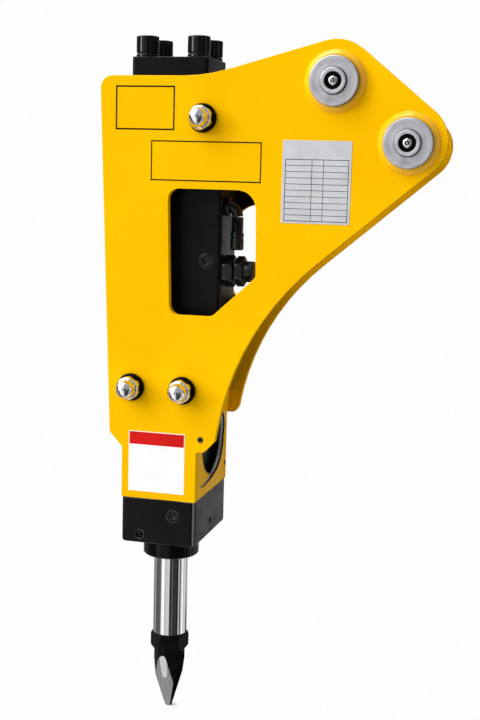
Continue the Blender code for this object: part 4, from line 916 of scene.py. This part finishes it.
insert("lobe_insert", Vector((TOOL_X + LOBE_HOLE_X, FACE_Y, FOOT_Z + LOBE_HOLE_UP)), FRONT)
insert("edge_insert", Vector((TOOL_X + EDGE_X, EDGE_Y, FOOT_Z + EDGE_HOLE_UP)), RIGHT)
RIM_DEPTH = 0.0003
mouth("retainer_rim", outer_end("retainer_plug", FRONT)[0], FRONT, inner=0.0101, outer=0.0124, deep=RIM_DEPTH)
mouth("lock_pin_rim", outer_end("bush_lock_pin", RIGHT)[0], RIGHT, inner=0.0061, outer=0.0078, deep=RIM_DEPTH)

# Blank foils on the front plate, in the tool's own x and height over the plate's foot


def slab(build, x0, x1, z0, z1, thick, radius=0.0, lift=0.0):
    """A thin plate with rounded corners and a chamfered rim on the front plate, added to a bmesh."""
    corners = ((x1, z1, 0), (x0, z1, 1), (x0, z0, 2), (x1, z0, 3))
    loops = []
    for inset, height in ((0, 0), (0, thick * 0.5), (thick * 0.5, thick)):
        loop = []
        for x, z, quarter in corners:
            sx = -1 if x == x1 else 1
            sz = -1 if z == z1 else 1
            for k in range(7 if radius else 1):
                a = math.pi / 2 * (quarter + k / 6)
                reach = max(radius - inset, 0)
                cx = x + sx * max(radius, inset) + reach * math.cos(a)
                cz = z + sz * max(radius, inset) + reach * math.sin(a)
                loop.append(build.verts.new((TOOL_X + cx, FACE_Y - lift - height, FOOT_Z + cz)))
        loops.append(loop)
    for one, two in zip(loops, loops[1:]):
        for i in range(len(one)):
            j = (i + 1) % len(one)
            build.faces.new((one[i], one[j], two[j], two[i]))
    build.faces.new(loops[0])
    build.faces.new(loops[-1])
    return build


def frame_lines(build, x0, x1, z0, z1, width, thick, lift=0.0):
    """Four thin lines round a box, added to a bmesh."""
    slab(build, x0, x1, z1 - width, z1, thick, lift=lift)
    slab(build, x0, x1, z0, z0 + width, thick, lift=lift)
    slab(build, x0, x0 + width, z0 + width, z1 - width, thick, lift=lift)
    slab(build, x1 - width, x1, z0 + width, z1 - width, thick, lift=lift)


PLATE_THICK = 0.0006
LABEL_THICK = 0.0003
LINE_THICK = 0.00015
RULE_WIDTH = 0.0010
RULE_HALF = 0.0004
DATA_PLATE = (0.202, 0.312, 0.469, 0.598)
TABLE_LEFT, TABLE_RIGHT, TABLE_TOP, TABLE_FOOT = 0.2066, 0.3080, 0.5690, 0.4725
TABLE_COLUMNS = (0.2495, 0.2680)
TABLE_ROWS = 10
UPPER_FRAME = (-0.077, 0.023, 0.610, 0.680, 0.0025)
MIDDLE_FRAME = (-0.016, 0.168, 0.530, 0.594, 0.0021)
LABEL = (-0.0475, 0.0505, 0.012, 0.115)
LABEL_BAND = (-0.0463, 0.0493, 0.0925, 0.1138)
ORIGIN = (0, 0, 0)
piece("data_plate", slab(bmesh.new(), *DATA_PLATE, PLATE_THICK, 0.0015), SILVER, ORIGIN)
build = bmesh.new()
frame_lines(build, TABLE_LEFT, TABLE_RIGHT, TABLE_FOOT, TABLE_TOP, RULE_WIDTH, LINE_THICK, PLATE_THICK)
for x in TABLE_COLUMNS:
    slab(build, x - RULE_HALF, x + RULE_HALF, TABLE_FOOT + RULE_WIDTH, TABLE_TOP - RULE_WIDTH, LINE_THICK,
         lift=PLATE_THICK)
cell_starts = [TABLE_LEFT + RULE_WIDTH] + [x + RULE_HALF for x in TABLE_COLUMNS]
cell_ends = [x - RULE_HALF for x in TABLE_COLUMNS] + [TABLE_RIGHT - RULE_WIDTH]
for i in range(1, TABLE_ROWS):
    z = TABLE_FOOT + (TABLE_TOP - TABLE_FOOT) * i / TABLE_ROWS
    for x0, x1 in zip(cell_starts, cell_ends):
        slab(build, x0, x1, z - RULE_HALF, z + RULE_HALF, LINE_THICK, lift=PLATE_THICK)
piece("data_plate_lines", build, INKED, ORIGIN)
for name, lines in (("frame_upper", UPPER_FRAME), ("frame_middle", MIDDLE_FRAME)):
    build = bmesh.new()
    frame_lines(build, *lines, LINE_THICK)
    piece(name, build, INKED, ORIGIN)
piece("blank_label", slab(bmesh.new(), *LABEL, LABEL_THICK, 0.001), WHITE, ORIGIN)
piece("blank_label_band", slab(bmesh.new(), *LABEL_BAND, LINE_THICK, lift=LABEL_THICK), RED, ORIGIN)


def keep(node, finish, width, segments=2):
    """A CAD piece that stays: its finish, and small rounded edges."""
    made = nodes[node]
    made.data.materials.clear()
    made.data.materials.append(finish)
    if not width:
        return
    weld = made.modifiers.new("weld", "WELD")
    weld.merge_threshold = 0.00001
    flat = made.modifiers.new("flat", "DECIMATE")
    flat.decimate_type = "DISSOLVE"
    flat.angle_limit = math.radians(1)
    edge = made.modifiers.new("edge", "BEVEL")
    edge.width = width
    edge.segments = segments
    edge.limit_method = "ANGLE"
    edge.angle_limit = math.radians(35)
    normal = made.modifiers.new("normal", "WEIGHTED_NORMAL")
    normal.weight = 60


EDGE_ROUND = 0.0012
for name in ("side_plate_front", "side_plate_rear"):
    keep(name, PAINT, EDGE_ROUND)
for name in ("box_wall_right", "box_wall_left"):
    keep(name, WALL_PAINT, EDGE_ROUND)
for name in ("back_head", "cylinder"):
    keep(name, CASTING, EDGE_ROUND)
keep("front_head", HEAD_CASTING, EDGE_ROUND)
for name in ("piston", "valve_spool", "valve_plug", "seal_retainer", "thrust_bush", "retaining_pin"):
    keep(name, TURNED, 0)
for name in ("side_bolt_upper", "side_bolt_lower_left", "side_bolt_lower_right"):
    keep(name, ZINC, 0)

# Camera, with its lens in mm, at the photograph's viewing angle
LENS = 61.46
SENSOR = 36
CAMERA_PLACE = (0.3651, -1.9966, -0.1438)
CAMERA_GAZE = Vector((-0.25391, 0.95555, -0.14984))
CAMERA_LEVEL = Vector((0.96513, 0.26050, 0.02583))
camera = bpy.data.objects.new("camera", bpy.data.cameras.new("camera"))
bpy.context.scene.collection.objects.link(camera)
camera.data.lens = LENS
camera.data.sensor_width = SENSOR
gaze = CAMERA_GAZE.normalized()
level = (CAMERA_LEVEL - gaze * CAMERA_LEVEL.dot(gaze)).normalized()
above = level.cross(gaze)
axes = Matrix((level, above, -gaze)).transposed().to_4x4()
camera.matrix_world = Matrix.Translation(CAMERA_PLACE) @ axes
bpy.context.scene.camera = camera


# Light
def lamp(name, place, aim, power, size):
    """A square area lamp that lights the object but isn't mirrored in it."""
    light = bpy.data.lights.new(name, "AREA")
    light.shape = "RECTANGLE"
    light.size = size
    light.size_y = size
    light.energy = power
    made = bpy.data.objects.new(name, light)
    bpy.context.scene.collection.objects.link(made)
    made.location = place
    made.rotation_euler = (Vector(aim) - Vector(place)).to_track_quat("-Z", "Y").to_euler()
    made.visible_glossy = False


lamp("key", place=(-1.70, -2.70, 0.80), aim=(-0.15, 0, -0.35), power=4, size=1.8)
lamp("fill", place=(2.10, -0.90, 0.10), aim=(-0.15, 0, -0.40), power=2, size=1.2)

# Studio round the object: degrees from +X, counterclockwise seen from above, each with its brightness
LOWER = (
    (-180, 0.15), (-140, 0.17), (-136, 1.7), (-118, 1.7), (-114, 0.92), (-83, 0.90), (-78, 0.30), (-75, 0.01),
    (-68, 0.01), (-65, 0.16), (-59, 0.16), (-56, 0.04), (-31, 0.05), (-27, 0.02), (-20, 0.02), (-16, 0.74),
    (-9, 0.74), (-6.5, 0.04), (-0.5, 0.04), (2, 0.87), (15, 0.87), (16, 3.0), (18, 3.0), (19, 0.87),
    (52, 0.87), (57, 0.06), (108, 0.06), (112, 0.22), (156, 0.22), (161, 0.54), (172, 0.54), (178, 0.15),
)
UPPER = (
    (-180, 0.10), (-151, 0.10), (-149, 12), (-139, 12), (-134, 0.9), (-105, 0.9), (-103, 0.12), (-97, 0.12),
    (-95, 0.9), (-88, 0.9), (-84, 0.08), (-56, 0.08), (-52, 0.40), (-42, 0.40), (-38, 0.10), (-12, 0.10),
    (-8, 0.80), (4, 0.80), (8, 0.15), (60, 0.12), (150, 0.12), (180, 0.10),
)
CEILING = ((-180, 4.7), (-130, 4.7), (-100, 0.5), (125, 0.5), (145, 4.7), (180, 4.7))
BACKDROP = ((78, 0), (84, 1), (132, 1), (138, 0))
SIDE_GLOW = ((58, 0), (64, 0.7), (92, 0.7), (98, 0))
NOTHING = ((-180, 0), (180, 0))
EYE_LEVEL = (-0.06, 0.02)
OVERHEAD = (0.24, 0.46)
GLOW_FOOT = (-0.36, -0.32)
BACKDROP_WHITE = (0.985, 0.985, 0.985, 1)
world = bpy.data.worlds.new("studio")
bpy.context.scene.world = world
world.use_nodes = True
tree = world.node_tree
backdrop = tree.nodes["Background"]
backdrop.inputs["Color"].default_value = BACKDROP_WHITE
path = tree.nodes.new("ShaderNodeLightPath")
spot = tree.nodes.new("ShaderNodeTexCoord")
round_angle = tree.nodes.new("ShaderNodeTexGradient")
round_angle.gradient_type = "RADIAL"
tree.links.new(spot.outputs["Generated"], round_angle.inputs["Vector"])


def band(stops):
    """Brightness by degrees round the object."""
    ramp = tree.nodes.new("ShaderNodeValToRGB")
    marks = ramp.color_ramp.elements
    while len(marks) < len(stops):
        marks.new(0.5)
    for mark, (degrees, level) in zip(marks, stops):
        mark.position = degrees / 360 + 0.5
        mark.color = (level, level, level, 1)
    tree.links.new(round_angle.outputs["Fac"], ramp.inputs["Fac"])
    return ramp.outputs["Color"]


def combine(operation, first, second):
    """Two brightnesses of the world through one operation."""
    node = tree.nodes.new("ShaderNodeMath")
    node.operation = operation
    tree.links.new(first, node.inputs[0])
    tree.links.new(second, node.inputs[1])
    return node.outputs["Value"]


split = tree.nodes.new("ShaderNodeSeparateXYZ")
tree.links.new(spot.outputs["Generated"], split.inputs[0])


def layered(low, high, below, over):
    """One brightness below a height and another over it."""
    rise = tree.nodes.new("ShaderNodeMapRange")
    rise.interpolation_type = "SMOOTHSTEP"
    rise.inputs["From Min"].default_value = low
    rise.inputs["From Max"].default_value = high
    tree.links.new(split.outputs["Z"], rise.inputs["Value"])
    mix = tree.nodes.new("ShaderNodeMix")
    tree.links.new(rise.outputs["Result"], mix.inputs[0])
    tree.links.new(below, mix.inputs[2])
    tree.links.new(over, mix.inputs[3])
    return mix.outputs[0]


room = layered(*OVERHEAD, layered(*EYE_LEVEL, band(LOWER), band(UPPER)), band(CEILING))
glow = layered(*GLOW_FOOT, band(NOTHING), layered(*EYE_LEVEL, band(SIDE_GLOW), band(NOTHING)))
room = combine("MAXIMUM", room, glow)
behind = combine("MULTIPLY", path.outputs["Is Glossy Ray"], band(BACKDROP))
clear = combine("MAXIMUM", path.outputs["Is Camera Ray"], path.outputs["Is Transmission Ray"])
seen = tree.nodes.new("ShaderNodeMix")
tree.links.new(clear, seen.inputs[0])
tree.links.new(combine("MAXIMUM", behind, room), seen.inputs[2])
seen.inputs[3].default_value = 1
tree.links.new(seen.outputs[0], backdrop.inputs["Strength"])

# Floor: white to the camera away from the tool, with the tool's own shadow under it
FLOOR_RINGS = (0, 0.04, 0.08, 0.14)
FLOOR_GAP = 0.0003
SHADOW_FADE = (0.006, 0.020)
floor_mesh = bpy.data.meshes.new("floor")
build = spun([(radius, 0) for radius in FLOOR_RINGS], 96)
build.to_mesh(floor_mesh)
build.free()
floor = bpy.data.objects.new("floor", floor_mesh)
bpy.context.scene.collection.objects.link(floor)
floor.location = (TOOL_X, 0, TIP_Z - FLOOR_GAP)
s = Shader("floor_white")
pale = s.set(Base_Color="FBFBFB", Roughness=0.9, Specular_IOR_Level=0.1)
reach = s.add("ShaderNodeVectorMath", operation="LENGTH")
s.join(s.spot, reach.inputs[0])
away = s.range(reach.outputs["Value"], *SHADOW_FADE, 0, 1)
path = s.add("ShaderNodeLightPath")
glow = s.add("ShaderNodeEmission")
glow.inputs["Color"].default_value = BACKDROP_WHITE
choice = s.add("ShaderNodeMixShader")
to_eye = s.math("MAXIMUM", path.outputs["Is Camera Ray"], path.outputs["Is Transmission Ray"])
mirrored = s.math("MAXIMUM", to_eye, path.outputs["Is Glossy Ray"])
s.join(s.math("MULTIPLY", away, mirrored), choice.inputs["Fac"])
s.join(s.main.outputs["BSDF"], choice.inputs[1])
s.join(glow.outputs["Emission"], choice.inputs[2])
s.join(choice.outputs["Shader"], s.tree.nodes["Material Output"].inputs["Surface"])
floor.data.materials.append(pale)

bpy.context.scene.view_settings.view_transform = "Standard"
